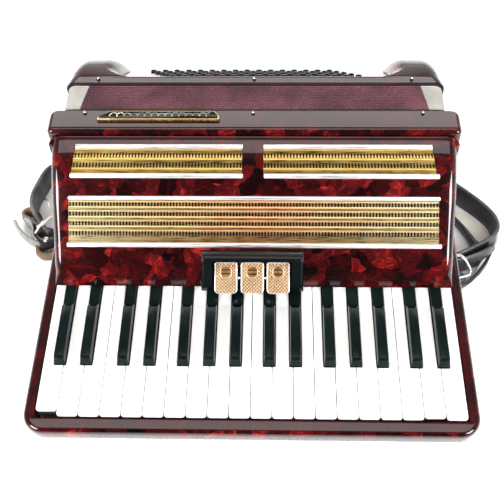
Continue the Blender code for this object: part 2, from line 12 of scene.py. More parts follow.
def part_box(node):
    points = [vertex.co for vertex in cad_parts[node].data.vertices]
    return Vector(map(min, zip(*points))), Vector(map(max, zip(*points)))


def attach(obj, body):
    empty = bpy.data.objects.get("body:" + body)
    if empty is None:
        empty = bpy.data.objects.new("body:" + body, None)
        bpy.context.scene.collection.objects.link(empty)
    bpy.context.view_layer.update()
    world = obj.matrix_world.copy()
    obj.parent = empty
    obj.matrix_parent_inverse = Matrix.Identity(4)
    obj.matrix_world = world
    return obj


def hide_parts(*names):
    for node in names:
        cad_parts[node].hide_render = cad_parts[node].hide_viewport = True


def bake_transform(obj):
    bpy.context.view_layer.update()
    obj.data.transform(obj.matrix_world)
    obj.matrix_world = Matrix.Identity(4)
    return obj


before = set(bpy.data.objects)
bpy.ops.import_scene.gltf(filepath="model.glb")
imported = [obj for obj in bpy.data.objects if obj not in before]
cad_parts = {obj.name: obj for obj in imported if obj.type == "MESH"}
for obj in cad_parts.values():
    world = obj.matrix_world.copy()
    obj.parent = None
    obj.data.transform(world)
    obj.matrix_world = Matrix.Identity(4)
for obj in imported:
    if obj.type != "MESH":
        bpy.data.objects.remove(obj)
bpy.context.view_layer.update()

MM = 0.001
TREBLE, BASS = "treble_side", "bass_side"


def reach(node):
    """A CAD node's lowest and highest corners, in millimetres."""
    low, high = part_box(node)
    return low / MM, high / MM


# ---------------------------------------------------------------- materials


def set_stops(node, stops):
    """Gives a colour ramp these positions and colours."""
    elements = node.color_ramp.elements
    while len(elements) < len(stops):
        elements.new(0.5)
    for element, (position, colour) in zip(elements, stops):
        element.position = position
        element.color = (*colour, 1.0)


class Paint:
    """A procedural material under construction."""

    def __init__(self, name, colour=(0.5, 0.5, 0.5), roughness=0.4, metallic=0.0, coat=0.0,
                 coat_roughness=0.05):
        self.material = bpy.data.materials.new(name)
        self.material.use_nodes = True
        self.tree = self.material.node_tree
        self.shader = self.tree.nodes["Principled BSDF"]
        self.set("Base Color", (*colour, 1.0))
        self.set("Roughness", roughness)
        self.set("Metallic", metallic)
        self.set("Coat Weight", coat)
        self.set("Coat Roughness", coat_roughness)

    def set(self, socket, value):
        self.feed(self.shader.inputs[socket], value)

    def feed(self, socket, value):
        if isinstance(value, bpy.types.NodeSocket):
            self.tree.links.new(value, socket)
        else:
            socket.default_value = value

    def add(self, kind, output=0, options=None, **inputs):
        """Adds a node, sets its options and inputs, and returns one of its outputs."""
        node = self.tree.nodes.new(kind)
        for name, value in (options or {}).items():
            setattr(node, name, value)
        for name, value in inputs.items():
            key = int(name[1:]) if name[0] == "_" else name.replace("_", " ")
            self.feed(node.inputs[key], value)
        return node.outputs[output]

    def place(self, scale=(1, 1, 1)):
        """Object coordinates, times a scale."""
        return self.vectors("MULTIPLY", self.add("ShaderNodeTexCoord", "Object"), scale)

    def noise(self, scale, detail=2.0, where=None, output=0, distortion=0.0, roughness=0.5):
        where = where or self.place()
        return self.add("ShaderNodeTexNoise", output, Vector=where, Scale=scale, Detail=detail,
                        Distortion=distortion, Roughness=roughness)

    def maths(self, operation, a, b=0.0, c=0.0):
        return self.add("ShaderNodeMath", options={"operation": operation}, _0=a, _1=b, _2=c)

    def vectors(self, operation, a, b):
        second = "Scale" if operation == "SCALE" else "_1"
        return self.add("ShaderNodeVectorMath", 0, {"operation": operation}, _0=a, **{second: b})

    def spread(self, value, low, high, to_low=0.0, to_high=1.0):
        return self.add("ShaderNodeMapRange", Value=value, From_Min=low, From_Max=high, To_Min=to_low,
                        To_Max=to_high)

    def ramp(self, value, stops):
        output = self.add("ShaderNodeValToRGB", _0=value)
        set_stops(output.node, stops)
        return output

    def bump(self, height, strength, distance=0.001):
        self.set("Normal", self.add("ShaderNodeBump", Height=height, Strength=strength, Distance=distance))


def pearl_paint():
    """Dark red celluloid: jagged flakes, each streaked in its own direction, under clear gloss."""
    paint = Paint("red_pearl", roughness=0.22, coat=1.0, coat_roughness=0.02)
    where = paint.place()
    bent = where
    for scale, amount in ((26.0, 0.030), (110.0, 0.007)):
        warp = paint.noise(scale, 2.0, where, 1)
        centred = paint.vectors("SUBTRACT", warp, (0.5, 0.5, 0.5))
        bent = paint.vectors("ADD", bent, paint.vectors("SCALE", centred, amount))
    flake = paint.add("ShaderNodeTexVoronoi", "Color", {"feature": "SMOOTH_F1"}, Vector=bent,
                      Scale=74.0, Smoothness=0.08)
    turned = paint.add("ShaderNodeVectorRotate", 0, {"rotation_type": "EULER_XYZ"}, Vector=bent,
                       Rotation=paint.vectors("SCALE", flake, 6.3))
    drawn = paint.vectors("MULTIPLY", turned, (48.0, 430.0, 150.0))
    streaks = paint.noise(1.0, 4.0, drawn, roughness=0.6)
    own = paint.add("ShaderNodeSeparateColor", 1, Color=flake)
    clouds = paint.noise(15.0, 2.0, where)
    glow = paint.maths("MULTIPLY_ADD", own, 0.34, paint.maths("MULTIPLY", clouds, 0.34))
    glow = paint.maths("MULTIPLY_ADD", streaks, 0.66, glow)
    # Painted sheen: on upward faces the flakes are evened towards a mid red, standing in for the overhead
    # light's reflection washing out the pattern.
    facing = paint.add("ShaderNodeSeparateXYZ", 2, Vector=paint.add("ShaderNodeNewGeometry", 1))
    level = paint.spread(facing, 0.88, 0.98, 0.0, 0.72)
    painted_top_sheen = paint.maths("MULTIPLY", paint.maths("SUBTRACT", 0.66, glow), level)
    glow = paint.maths("ADD", glow, painted_top_sheen)
    paint.set("Base Color", paint.ramp(glow, (
        (0.46, (0.0010, 0.0002, 0.0004)), (0.57, (0.009, 0.0005, 0.0009)), (0.68, (0.027, 0.0009, 0.0014)),
        (0.80, (0.066, 0.0018, 0.0022)), (0.93, (0.26, 0.009, 0.007)),
    )))
    paint.set("Roughness", paint.spread(streaks, 0.3, 0.7, 0.32, 0.18))
    paint.set("Specular IOR Level", 0.12)
    paint.bump(paint.noise(9.0, 1.0, where), 0.04, 0.002)
    return paint.material


def ivory_paint():
    paint = Paint("white_key_plastic", roughness=0.18, coat=0.6, coat_roughness=0.05)
    tint = paint.noise(14.0, 3.0)
    paint.set("Base Color", paint.ramp(tint, ((0.3, (0.90, 0.89, 0.86)), (0.7, (0.96, 0.955, 0.94)))))
    paint.set("Roughness", paint.spread(paint.noise(180.0, 4.0), 0.35, 0.7, 0.14, 0.26))
    paint.bump(paint.noise(60.0, 2.0), 0.03, 0.0005)
    return paint.material


def black_paint(name, low=0.06, high=0.16, colour=(0.0022, 0.0034, 0.0034), specular=0.35):
    """Polished black plastic with faint rub marks."""
    paint = Paint(name)
    rub = paint.noise(1.0, 5.0, paint.place((500.0, 60.0, 300.0)))
    dust = paint.noise(35.0, 3.0)
    lighter = tuple(c * 2.2 for c in colour)
    paint.set("Base Color", paint.ramp(dust, ((0.35, colour), (0.75, lighter))))
    paint.set("Roughness", paint.spread(rub, 0.35, 0.75, low, high))
    paint.set("Specular IOR Level", specular)
    paint.bump(paint.noise(45.0, 2.0), 0.04, 0.0005)
    return paint.material


LONG_GRAIN, EVEN_GRAIN = (60.0, 900.0, 900.0), (300.0, 300.0, 300.0)


def metal_paint(name, colour, roughness, grain=(900.0, 60.0, 60.0), tarnish=None):
    """Plated metal with a fine grain and darker tarnish in its clouds."""
    paint = Paint(name, metallic=1.0)
    clouds = paint.noise(55.0, 4.0)
    dull = tarnish or tuple(c * 0.72 for c in colour)
    paint.set("Base Color", paint.ramp(clouds, ((0.34, dull), (0.6, colour))))
    lines = paint.noise(1.0, 3.0, paint.place(grain))
    paint.set("Roughness", paint.spread(lines, 0.3, 0.7, roughness * 0.75, roughness * 1.35))
    paint.bump(lines, 0.06, 0.0002)
    return paint.material


def grille_paint():
    """Gilt screen metal, more orange towards the middle of the instrument."""
    paint = Paint("grille_gilt", metallic=1.0)
    where = paint.place()
    clouds = paint.noise(30.0, 3.0, where)
    from_middle = paint.maths("ABSOLUTE", paint.add("ShaderNodeSeparateXYZ", 0, Vector=where))
    amount = paint.maths("MULTIPLY_ADD", clouds, 0.08, from_middle)
    paint.set("Base Color", paint.ramp(paint.spread(amount, 0.03, 0.20), (
        (0.0, (0.80, 0.39, 0.17)), (0.5, (0.76, 0.50, 0.22)), (1.0, (0.76, 0.60, 0.31)))))
    lines = paint.noise(1.0, 3.0, paint.place(LONG_GRAIN))
    paint.set("Roughness", paint.spread(lines, 0.3, 0.7, 0.24, 0.40))
    paint.bump(lines, 0.06, 0.0002)
    return paint.material


def wood_paint():
    paint = Paint("spruce_wood", roughness=0.6)
    rings = paint.noise(1.0, 4.0, paint.place((6.0, 260.0, 260.0)), distortion=0.6)
    paint.set("Base Color", paint.ramp(rings, (
        (0.3, (0.30, 0.17, 0.075)), (0.55, (0.52, 0.34, 0.17)), (0.8, (0.66, 0.47, 0.27)))))
    paint.bump(rings, 0.25, 0.0004)
    return paint.material


def cloth_paint(name, colour, thread=0.9, sheen=0.3):
    """Woven book cloth. thread is the size of one thread in millimetres."""
    paint = Paint(name, roughness=0.75)
    rate = 1000.0 * math.pi / thread
    split = paint.add("ShaderNodeSeparateXYZ", 0, Vector=paint.place((rate, rate, rate))).node
    x, y, z = split.outputs
    weave = paint.maths("MULTIPLY", paint.maths("SINE", x), paint.maths("SINE", paint.maths("ADD", y, z)))
    speckle = paint.noise(700.0, 3.0)
    clouds = paint.noise(22.0, 3.0)
    tone = paint.maths("MULTIPLY_ADD", speckle, 0.5, paint.maths("MULTIPLY", clouds, 0.5))
    dark = tuple(c * 0.45 for c in colour)
    light = tuple(min(1.0, c * 1.7 + 0.01) for c in colour)
    paint.set("Base Color", paint.ramp(tone, ((0.38, dark), (0.5, colour), (0.64, light))))
    paint.set("Sheen Weight", sheen)
    paint.bump(paint.maths("ADD", weave, speckle), 0.35, 0.0003)
    return paint.material


def leather_paint(name, colour, worn, roughness=0.42, scale=1.0):
    """Leather with a pebbled grain, creases, and a paler tone where it is rubbed."""
    paint = Paint(name)
    where = paint.place()
    grain = paint.add("ShaderNodeTexVoronoi", 0, {"feature": "F1"}, Vector=where, Scale=950.0 * scale)
    crease = paint.noise(70.0 * scale, 6.0, where, roughness=0.7)
    wear = paint.noise(38.0, 4.0, where)
    paint.set("Base Color", paint.ramp(paint.maths("MULTIPLY_ADD", grain, 0.25, wear), (
        (0.45, colour), (0.62, tuple((a + b) / 2 for a, b in zip(colour, worn))), (0.8, worn))))
    paint.set("Roughness", paint.spread(crease, 0.3, 0.7, roughness * 0.7, roughness * 1.4))
    paint.bump(paint.maths("MULTIPLY_ADD", grain, 0.4, crease), 0.4, 0.0006)
    return paint.material


PEARL = pearl_paint()
IVORY = ivory_paint()
BLACK_KEY = black_paint("black_key_plastic", 0.10, 0.22, (0.0018, 0.0045, 0.0042), 0.25)
BLACK = black_paint("black_gloss_plastic")
GOLD = metal_paint("gilt_metal", (0.83, 0.60, 0.27), 0.30, tarnish=(0.60, 0.40, 0.16))
SILVER = metal_paint("silver_trim", (0.97, 0.955, 0.95), 0.42, LONG_GRAIN, (0.90, 0.87, 0.87))
CHROME = metal_paint("chrome", (0.82, 0.82, 0.83), 0.08, (400.0, 400.0, 400.0))
SWITCH_GOLD = metal_paint("switch_face", (0.50, 0.27, 0.125), 0.45, EVEN_GRAIN, (0.44, 0.22, 0.095))
SWITCH_LINE = metal_paint("switch_lattice", (0.84, 0.68, 0.46), 0.45, EVEN_GRAIN, (0.76, 0.58, 0.36))
UPPER_GILT = metal_paint("upper_grille_gilt", (0.80, 0.55, 0.17), 0.30, LONG_GRAIN, (0.74, 0.47, 0.13))
# The keys' bodies under the ivory caps: near black as painted shade in the gaps between keys and under
# their fronts.
SHADED_KEY_BODY = leather_paint("key_body_painted_shade", (0.030, 0.022, 0.018), (0.075, 0.055, 0.04), 0.7, 0.5)
WOOD = wood_paint()
BELLOWS_CLOTH = cloth_paint("maroon_cloth", (0.094, 0.027, 0.039), 1.6)
CORNER_LEATHER = leather_paint("white_leather", (0.46, 0.45, 0.415), (0.36, 0.345, 0.31), 0.5)
BACKING = cloth_paint("grille_backing", (0.004, 0.003, 0.003), 0.7, 0.0)
GASKET = leather_paint("gasket_leather", (0.006, 0.005, 0.006), (0.016, 0.014, 0.016), 0.85)
CREAM = leather_paint("cream_board", (0.93, 0.92, 0.89), (0.87, 0.85, 0.8), 0.3, 0.5)
STRAP_BLACK = leather_paint("black_strap_leather", (0.008, 0.008, 0.010), (0.03, 0.03, 0.032), 0.32)
STRAP_GREY = leather_paint("worn_grey_leather", (0.040, 0.041, 0.043), (0.17, 0.17, 0.165), 0.5)
STRAP_BROWN = leather_paint("brown_suede", (0.12, 0.075, 0.042), (0.24, 0.165, 0.10), 0.8)
STRAP_EDGE = leather_paint("grey_strap_edge", (0.030, 0.033, 0.036), (0.10, 0.105, 0.11), 0.4)
STRAP_DARK = leather_paint("dark_strap_inside", (0.018, 0.014, 0.010), (0.07, 0.05, 0.03), 0.7)
STRAP_PALE = leather_paint("pale_strap_leather", (0.24, 0.235, 0.22), (0.42, 0.41, 0.38), 0.6)
CREAM_LINING = leather_paint("cream_lining", (0.80, 0.77, 0.68), (0.66, 0.62, 0.52), 0.8, 0.6)
BRASS_PALE = metal_paint("pale_brass", (0.86, 0.80, 0.66), 0.3, tarnish=(0.5, 0.42, 0.28))
GRILLE_GOLD = grille_paint()
FELT = cloth_paint("cream_felt", (0.62, 0.58, 0.46), 1.1, 0.5)


# ---------------------------------------------------------------- mesh helpers


def piece(name, bm, looks, body, replaces=(), smooth=35.0, keep_normals=False):
    """Turns a bmesh in millimetres into a piece that rides on a body."""
    if not keep_normals:
        bmesh.ops.recalc_face_normals(bm, faces=bm.faces)
    bmesh.ops.scale(bm, verts=bm.verts, vec=(MM, MM, MM))
    mesh = bpy.data.meshes.new(name)
    bm.to_mesh(mesh)
    bm.free()
    for look in looks if isinstance(looks, (list, tuple)) else [looks]:
        mesh.materials.append(look)
    mesh.shade_smooth()
    mesh.set_sharp_from_angle(angle=math.radians(smooth))
    obj = bpy.data.objects.new(name, mesh)
    bpy.context.scene.collection.objects.link(obj)
    if body:
        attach(obj, body)
    if replaces:
        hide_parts(*replaces)
    return obj


def settle(obj, smooth=35.0):
    """Applies the modifiers and marks the sharp edges of what they made."""
    result = bpy.data.meshes.new_from_object(obj.evaluated_get(bpy.context.evaluated_depsgraph_get()))
    obj.modifiers.clear()
    obj.data = result
    result.shade_smooth()
    result.set_sharp_from_angle(angle=math.radians(smooth))


def thicken(obj, depth, smooth=35.0):
    """Gives a surface this depth in millimetres, behind its front."""
    solid = obj.modifiers.new("thick", "SOLIDIFY")
    solid.thickness = depth * MM
    solid.offset = -1.0
    settle(obj, smooth)


def carve(obj, cutter):
    """Takes away the cutter's shape, which is a bmesh in millimetres."""
    helper = piece(obj.name + "_cutter", cutter, obj.data.materials[0], None)
    boolean = obj.modifiers.new("carve", "BOOLEAN")
    boolean.operation = "DIFFERENCE"
    boolean.solver = "EXACT"
    boolean.object = helper
    settle(obj)
    bpy.data.objects.remove(helper, do_unlink=True)


def prism(bm, outline, axis, low, high, look=0):
    """Extrudes an outline along an axis. The outline is in the other two axes, in the order X, Y, Z."""
    order = {"X": (2, 0, 1), "Y": (0, 2, 1), "Z": (0, 1, 2)}[axis]
    near, far = ([bm.verts.new([(a, b, t)[i] for i in order]) for a, b in outline] for t in (low, high))
    faces = [bm.faces.new(near), bm.faces.new(far)]
    for i in range(len(outline)):
        j = (i + 1) % len(outline)
        faces.append(bm.faces.new((near[i], near[j], far[j], far[i])))
    for face in faces:
        face.material_index = look
    return near + far


def box(bm, low, high, look=0):
    outline = ((low[0], low[1]), (high[0], low[1]), (high[0], high[1]), (low[0], high[1]))
    return prism(bm, outline, "Z", low[2], high[2], look)


def join(bm, rings, looks=(0,), closed=False):
    """Faces between rings of vertices, all of one length. looks are the materials round a ring, in turn."""
    for near, far in zip(rings, [*rings[1:], rings[0]] if closed else rings[1:]):
        for i in range(len(near)):
            j = (i + 1) % len(near)
            face = bm.faces.new((near[i], near[j], far[j], far[i]))
            face.material_index = looks[i % len(looks)]


def loft(bm, sections, look=0, closed=False):
    """Joins rings of points and closes the two ends, unless the last ring joins the first."""
    rings = [[bm.verts.new(point) for point in section] for section in sections]
    join(bm, rings, (look,), closed)
    if not closed:
        for ring in (rings[0], rings[-1]):
            bm.faces.new(ring).material_index = look


def tube(bm, points, radius, sides=10, look=0, closed=False):
    """A round wire along a line."""
    points = [Vector(point) for point in points]
    side, sections = None, []
    for i, point in enumerate(points):
        before = points[i - 1] if closed or i else point
        after = points[(i + 1) % len(points)] if closed or i + 1 < len(points) else point
        along = (after - before).normalized()
        side = side or along.orthogonal()
        side = (side - along * side.dot(along)).normalized()
        up = along.cross(side)
        sections.append([point + (side * math.cos(a) + up * math.sin(a)) * radius
                         for a in (2 * math.pi * k / sides for k in range(sides))])
    loft(bm, sections, look, closed)


def strap(bm, path, low, high, thick, looks=(0, 0, 0), bulge=0.0):
    """A strap on edge along a path seen from above.

    low and high are its edges' heights, or functions that give them from t, which runs from 0 to 1.
    looks are those of its left face, its right face and its edges.
    """
    line = smooth_line(path, 6)
    corner = thick * 0.42
    rings = []
    for i, (x, y) in enumerate(line):
        t = i / (len(line) - 1)
        foot, top = (value(t) if callable(value) else value for value in (low, high))
        ahead, behind = line[min(i + 1, len(line) - 1)], line[max(i - 1, 0)]
        along = Vector((ahead[0] - behind[0], ahead[1] - behind[1])).normalized()
        half, middle = thick / 2, (foot + top) / 2
        right = [*arc((half - corner, foot + corner), corner, 270, 360, 3), (half + bulge, middle),
                 *arc((half - corner, top - corner), corner, 0, 90, 3)]
        section = [*right, *((-u, v) for u, v in reversed(right))]
        rings.append([bm.verts.new((x + along.y * u, y - along.x * u, v)) for u, v in section])
    left_look, right_look, edge_look = looks
    join(bm, rings, [*[edge_look] * 3, right_look, right_look, *[edge_look] * 7, left_look, left_look,
                     *[edge_look] * 4])
    for ring in (rings[0], rings[-1]):
        bm.faces.new(ring).material_index = edge_look
    return line


def slab(bm, outline, height, thick, look=0):
    """A flat piece of leather seen from above; height gives its top's Z from X and Y."""
    smooth = smooth_line([*outline, outline[0]], 4)[:-1]
    upper = [bm.verts.new((x, y, height(x, y))) for x, y in smooth]
    lower = [bm.verts.new((x, y, height(x, y) - thick)) for x, y in smooth]
    faces = [bm.faces.new(upper), bm.faces.new(lower)]
    faces += [bm.faces.new((upper[i - 1], upper[i], lower[i], lower[i - 1])) for i in range(len(upper))]
    for face in faces:
        face.material_index = look


def rod(bm, start, end, radius, sides):
    """A cylinder from start to end."""
    start, end = Vector(start), Vector(end)
    turn = (end - start).to_track_quat("Z", "Y").to_matrix().to_4x4()
    bmesh.ops.create_cone(
        bm, cap_ends=True, segments=sides, radius1=radius, radius2=radius,
        depth=(end - start).length, matrix=Matrix.Translation((start + end) / 2) @ turn)


def lathe(bm, profile, start, axis, sides=24, look=0):
    """Turns (radius, height) points round an axis from start. The ends close where the radius is 0."""
    start, turn = Vector(start), Vector(axis).to_track_quat("Z", "Y").to_matrix()
    rings = []
    for radius, height in profile:
        if radius == 0:
            rings.append([bm.verts.new(start + turn @ Vector((0, 0, height)))])
            continue
        rings.append([
            bm.verts.new(start + turn @ Vector((radius * math.cos(a), radius * math.sin(a), height)))
            for a in (2 * math.pi * i / sides for i in range(sides))
        ])
    for lower, upper in zip(rings, rings[1:]):
        for i in range(sides):
            j = (i + 1) % sides
            corners = [ring[k % len(ring)] for ring, k in ((lower, i), (lower, j), (upper, j), (upper, i))]
            bm.faces.new(list(dict.fromkeys(corners))).material_index = look


def ball(bm, centre, radius, look=0, sides=16):
    made = bmesh.ops.create_uvsphere(
        bm, u_segments=sides, v_segments=sides // 2 + 2, radius=radius, matrix=Matrix.Translation(centre))
    for vert in made["verts"]:
        for face in vert.link_faces:
            face.material_index = look


def round_edges(bm, chosen, width, segments, verts=None):
    """Rounds the edges for which chosen(a, b) is true, where a and b are the edge's ends."""
    bmesh.ops.recalc_face_normals(bm, faces=bm.faces)
    own = set(verts) if verts else None
    edges = [
        edge for edge in bm.edges
        if (own is None or edge.verts[0] in own and edge.verts[1] in own)
        and len(edge.link_faces) == 2 and edge.calc_face_angle(0) > math.radians(12)
        and chosen(edge.verts[0].co, edge.verts[1].co)
    ]
    return bmesh.ops.bevel(
        bm, geom=edges, offset=width, segments=segments, profile=0.5, affect="EDGES", clamp_overlap=True)


def smooth_line(points, steps):
    """A Catmull-Rom curve through the points, with the given number of steps to each span."""
    ends = [points[0], *points, points[-1]]
    line = []
    for p0, p1, p2, p3 in zip(ends, ends[1:], ends[2:], ends[3:]):
        for step in range(steps):
            t = step / steps
            line.append(tuple(
                0.5 * (2 * b + (c - a) * t + (2 * a - 5 * b + 4 * c - d) * t * t
                       + (3 * b - a - 3 * c + d) * t**3)
                for a, b, c, d in zip(p0, p1, p2, p3)
            ))
    return [*line, tuple(points[-1])]


def arc(centre, radius, start, end, steps):
    """Points on a circle, from one angle to another, in degrees."""
    angles = [math.radians(start + (end - start) * i / steps) for i in range(steps + 1)]
    return [(centre[0] + radius * math.cos(a), centre[1] + radius * math.sin(a)) for a in angles]


def clamp(share):
    return min(1.0, max(0.0, share))


def quarter(steps):
    """Angles over a quarter turn, in radians."""
    return [math.pi / 2 * i / steps for i in range(steps + 1)]


# ---------------------------------------------------------------- keys

KEY_PITCH = 19.5
WHITE_KEYS = 20
BLACK_WIDTH = 10.9
SIDE_GAP, BLACK_GAP = 0.35, 0.5
AXLE = Vector((0.0, -50.0, 66.0))
ARM_TOP, ARM_UNDER, ARM_REAR = 74.0, 60.0, 41.0
PALLET_REAR = 45.6


def arm(bm, x, width, pallet_x, pallet, look):
    """The wooden lever over the axle, and the felted pallet on its upright end."""
    notch = 2.4
    near, far, above = AXLE.y - notch, AXLE.y + notch, AXLE.z + notch
    outline = (
        (-84.0, 63.0), (near - 3, ARM_UNDER), (near, ARM_UNDER), (near, AXLE.z),
        (AXLE.y - notch / 2, above), (AXLE.y + notch / 2, above), (far, AXLE.z),
        (far, ARM_UNDER), (ARM_REAR - 6, ARM_UNDER), (ARM_REAR, ARM_UNDER + 6),
        (ARM_REAR, pallet[1] - 4), (ARM_REAR - 3, pallet[1] - 4), (ARM_REAR - 6, ARM_TOP + 6),
        (ARM_REAR - 12, ARM_TOP), (-84.0, ARM_TOP),
    )
    prism(bm, outline, "X", x - width / 2, x + width / 2, look)
    for front, rear, layer in ((5, 2, look), (2, 0, look + 1)):
        box(bm, (pallet_x - 5.5, PALLET_REAR - front, pallet[0]),
            (pallet_x + 5.5, PALLET_REAR - rear, pallet[1]), layer)


def key_gaps():
    """Each black key's middle, read from its CAD node's top, which is narrower than its arm's reach."""
    middles = []
    for name, node in sorted(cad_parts.items()):
        if name.startswith("black_key"):
            xs = [v.co.x / MM for v in node.data.vertices if v.co.z / MM > 86 and v.co.y / MM < -80]
            middles.append((min(xs) + max(xs)) / 2)
    return middles


def white_key(index, blacks):
    name = f"white_key_{index + 1:02d}"
    middle = (index - (WHITE_KEYS - 1) / 2) * KEY_PITCH
    left, right = middle - KEY_PITCH / 2 + SIDE_GAP, middle + KEY_PITCH / 2 - SIDE_GAP
    front, rear, notch, radius = reach(name)[0].y, -56.0, -150.1, 2.6
    outline = [*arc((left + radius, front + radius), radius, 180, 270, 5),
               *arc((right - radius, front + radius), radius, 270, 360, 5)]
    rear_left, rear_right = left, right
    for x in blacks:
        if middle < x < middle + KEY_PITCH:
            rear_right = min(right, x - BLACK_WIDTH / 2 - BLACK_GAP)
        if middle - KEY_PITCH < x < middle:
            rear_left = max(left, x + BLACK_WIDTH / 2 + BLACK_GAP)
    if rear_right < right:
        outline += [(right, notch), (rear_right, notch)]
    outline += [(rear_right, rear), (rear_left, rear)]
    if rear_left > left:
        outline += [(rear_left, notch), (left, notch)]
    bm = bmesh.new()
    prism(bm, outline, "Z", 77.2, 80.0)
    round_edges(bm, lambda a, b: min(a.z, b.z) > 79.9 and min(a.y, b.y) < rear - 1, 1.0, 3)
    # The body under the cap is real, but its near-black colour is painted shade for the gaps and the key
    # fronts.
    core = [(max(left + 0.25, min(right - 0.25, x)), max(y, front + 1.6)) for x, y in outline]
    prism(bm, core, "Z", 64.0, 77.3, 3)
    limit = 188.2
    arm(bm, max(-limit, min(limit, (rear_left + rear_right) / 2)), 5.0, middle, (92.0, 118.0), 1)
    piece(name + "_cap", bm, [IVORY, WOOD, FELT, SHADED_KEY_BODY], name, [name])


def black_key(index, x):
    name = f"black_key_{index + 1:02d}"
    joint = round(x / KEY_PITCH) * KEY_PITCH
    outline = ((-149.4, 64.0), (-149.4, 81.5), (-145.0, 89.6), (-92.0, 89.6), (-86.5, 84.0),
               (-56.0, 84.0), (-56.0, 64.0))
    bm = bmesh.new()
    prism(bm, outline, "X", x - BLACK_WIDTH / 2, x + BLACK_WIDTH / 2)
    for vert in bm.verts:
        lift = max(0.0, vert.co.z - 80.0) / 9.6
        vert.co.x = x + (vert.co.x - x) * (1 - 0.17 * lift)
    round_edges(bm, lambda a, b: min(a.z, b.z) > 81 and max(a.y, b.y) < -57, 0.9, 3)
    span = (BLACK_WIDTH - 4.0) / 2 - 0.25
    arm(bm, x + max(-span, min(span, joint - x)), 4.0, joint, (124.0, 150.0), 1)
    piece(name + "_cap", bm, [BLACK_KEY, WOOD, FELT], name, [name])


def keys():
    blacks = key_gaps()
    for index in range(WHITE_KEYS):
        white_key(index, blacks)
    for index, x in enumerate(blacks):
        black_key(index, x)


# ---------------------------------------------------------------- keyboard bed and treble side

COVER_PROFILE = (
    (-66.5, 85.0), (-56.0, 102.5), (-37.0, 121.0), (-7.0, 151.0), (15.0, 169.0), (32.0, 178.0),
    (43.0, 181.3),
)
COVER_HALF = 194.5
LOWER_WINDOW, UPPER_WINDOW = (-40.5, -7.0), (8.0, 33.0)
CASE_TOP = 185.0


def keyboard_bed():
    low, high = reach("keyboard_bed")
    half, front, end = high.x, low.y, 10.0
    under, top, floor = low.z, high.z, 56.0
    corner = arc((half - 20, front + 20), 20, 270, 360, 12)
    right = [*corner, (half, end), (half - 13, end), (half - 13, high.y)]
    outline = [*right, *((-x, y) for x, y in reversed(right))]
    bm = bmesh.new()
    prism(bm, outline, "Z", under, top)
    round_edges(bm, lambda a, b: min(a.z, b.z) > top - 0.1 and min(a.y, b.y) < end - 1, 5.0, 6)
    round_edges(bm, lambda a, b: max(a.z, b.z) < under + 0.1 and max(a.y, b.y) < -70, 14.0, 7)
    bed = piece("keyboard_bed_shell", bm, [PEARL, WOOD], TREBLE, ["keyboard_bed"])
    between_cheeks = half - 10.5
    for reach_x, near in ((between_cheeks, -201.4), (230, end - 1)):
        inner = bmesh.new()
        box(inner, (-reach_x, near, floor), (reach_x, 60, 100))
        carve(bed, inner)
    felt = bmesh.new()
    box(felt, (12 - half, -199.5, floor + 0.1), (half - 12, -170, floor + 2.2))
    piece("key_felt", felt, FELT, TREBLE)


def treble_casing():
    low, high = reach("treble_casing")
    half, back, top = high.x, high.y, high.z
    front, wall_y, deck = low.y, 46.0, 50.0
    bm = bmesh.new()
    side = ((front, 0), (back, 0), (back, top), (wall_y, top), (wall_y, deck), (front, deck))
    prism(bm, side, "X", -half, half)

    def outer(a, b):
        on_top = min(a.z, b.z) > top - 1
        upright = abs(a.x - b.x) < 0.1 and abs(a.y - b.y) < 0.1 and min(a.z, b.z) > deck - 1
        across_back = min(a.y, b.y) > back - 0.1
        return on_top and not across_back or upright and max(a.y, b.y) < wall_y + 1

    round_edges(bm, outer, 6.0, 7)
    round_edges(bm, lambda a, b: max(a.z, b.z) < 1 and min(a.y, b.y) < back - 1, 2.0, 3)
    casing = piece("treble_casing_shell", bm, [PEARL, WOOD], TREBLE, ["treble_casing"])
    plan = bmesh.new()
    corners = [*arc((half - 10, back - 10), 10, 0, 90, 8), *arc((10 - half, back - 10), 10, 90, 180, 8)]
    prism(plan, [(half, back - 12), *corners, (-half, back - 12), (-half - 5, back - 12),
                 (-half - 5, back + 5), (half + 5, back + 5), (half + 5, back - 12)], "Z", -5, top + 5)
    carve(casing, plan)
    cavity = bmesh.new()
    prism(cavity, ((front + 6, 6), (back + 5, 6), (back + 5, top - 9), (wall_y + 5, top - 9),
                   (wall_y + 5, deck - 6), (front + 6, deck - 6)), "X", -184, 184)
    carve(casing, cavity)


def cover_height(y):
    for (y0, z0), (y1, z1) in zip(COVER_LINE, COVER_LINE[1:]):
        if y0 <= y <= y1:
            return z0 + (z1 - z0) * (y - y0) / (y1 - y0)
    raise ValueError(y)


COVER_LINE = smooth_line(COVER_PROFILE, 8)


def cover_normal(y):
    near, far = max(y - 0.5, -66.4), min(y + 0.5, 42.9)
    return Vector((0, cover_height(near) - cover_height(far), far - near)).normalized()


def on_cover(x, y, lift=0.0):
    """A point above the cover's outer surface."""
    return Vector((x, y, cover_height(y))) + cover_normal(y) * lift


def window_edges(y):
    """Half widths of the lower window and of the upper ones at one Y."""
    (lower_y0, lower_y1), (upper_y0, upper_y1) = LOWER_WINDOW, UPPER_WINDOW
    return (179.5 - 2.0 * clamp((y - lower_y0) / (lower_y1 - lower_y0)),
            175.0 - 5.0 * clamp((y - upper_y0) / (upper_y1 - upper_y0)))


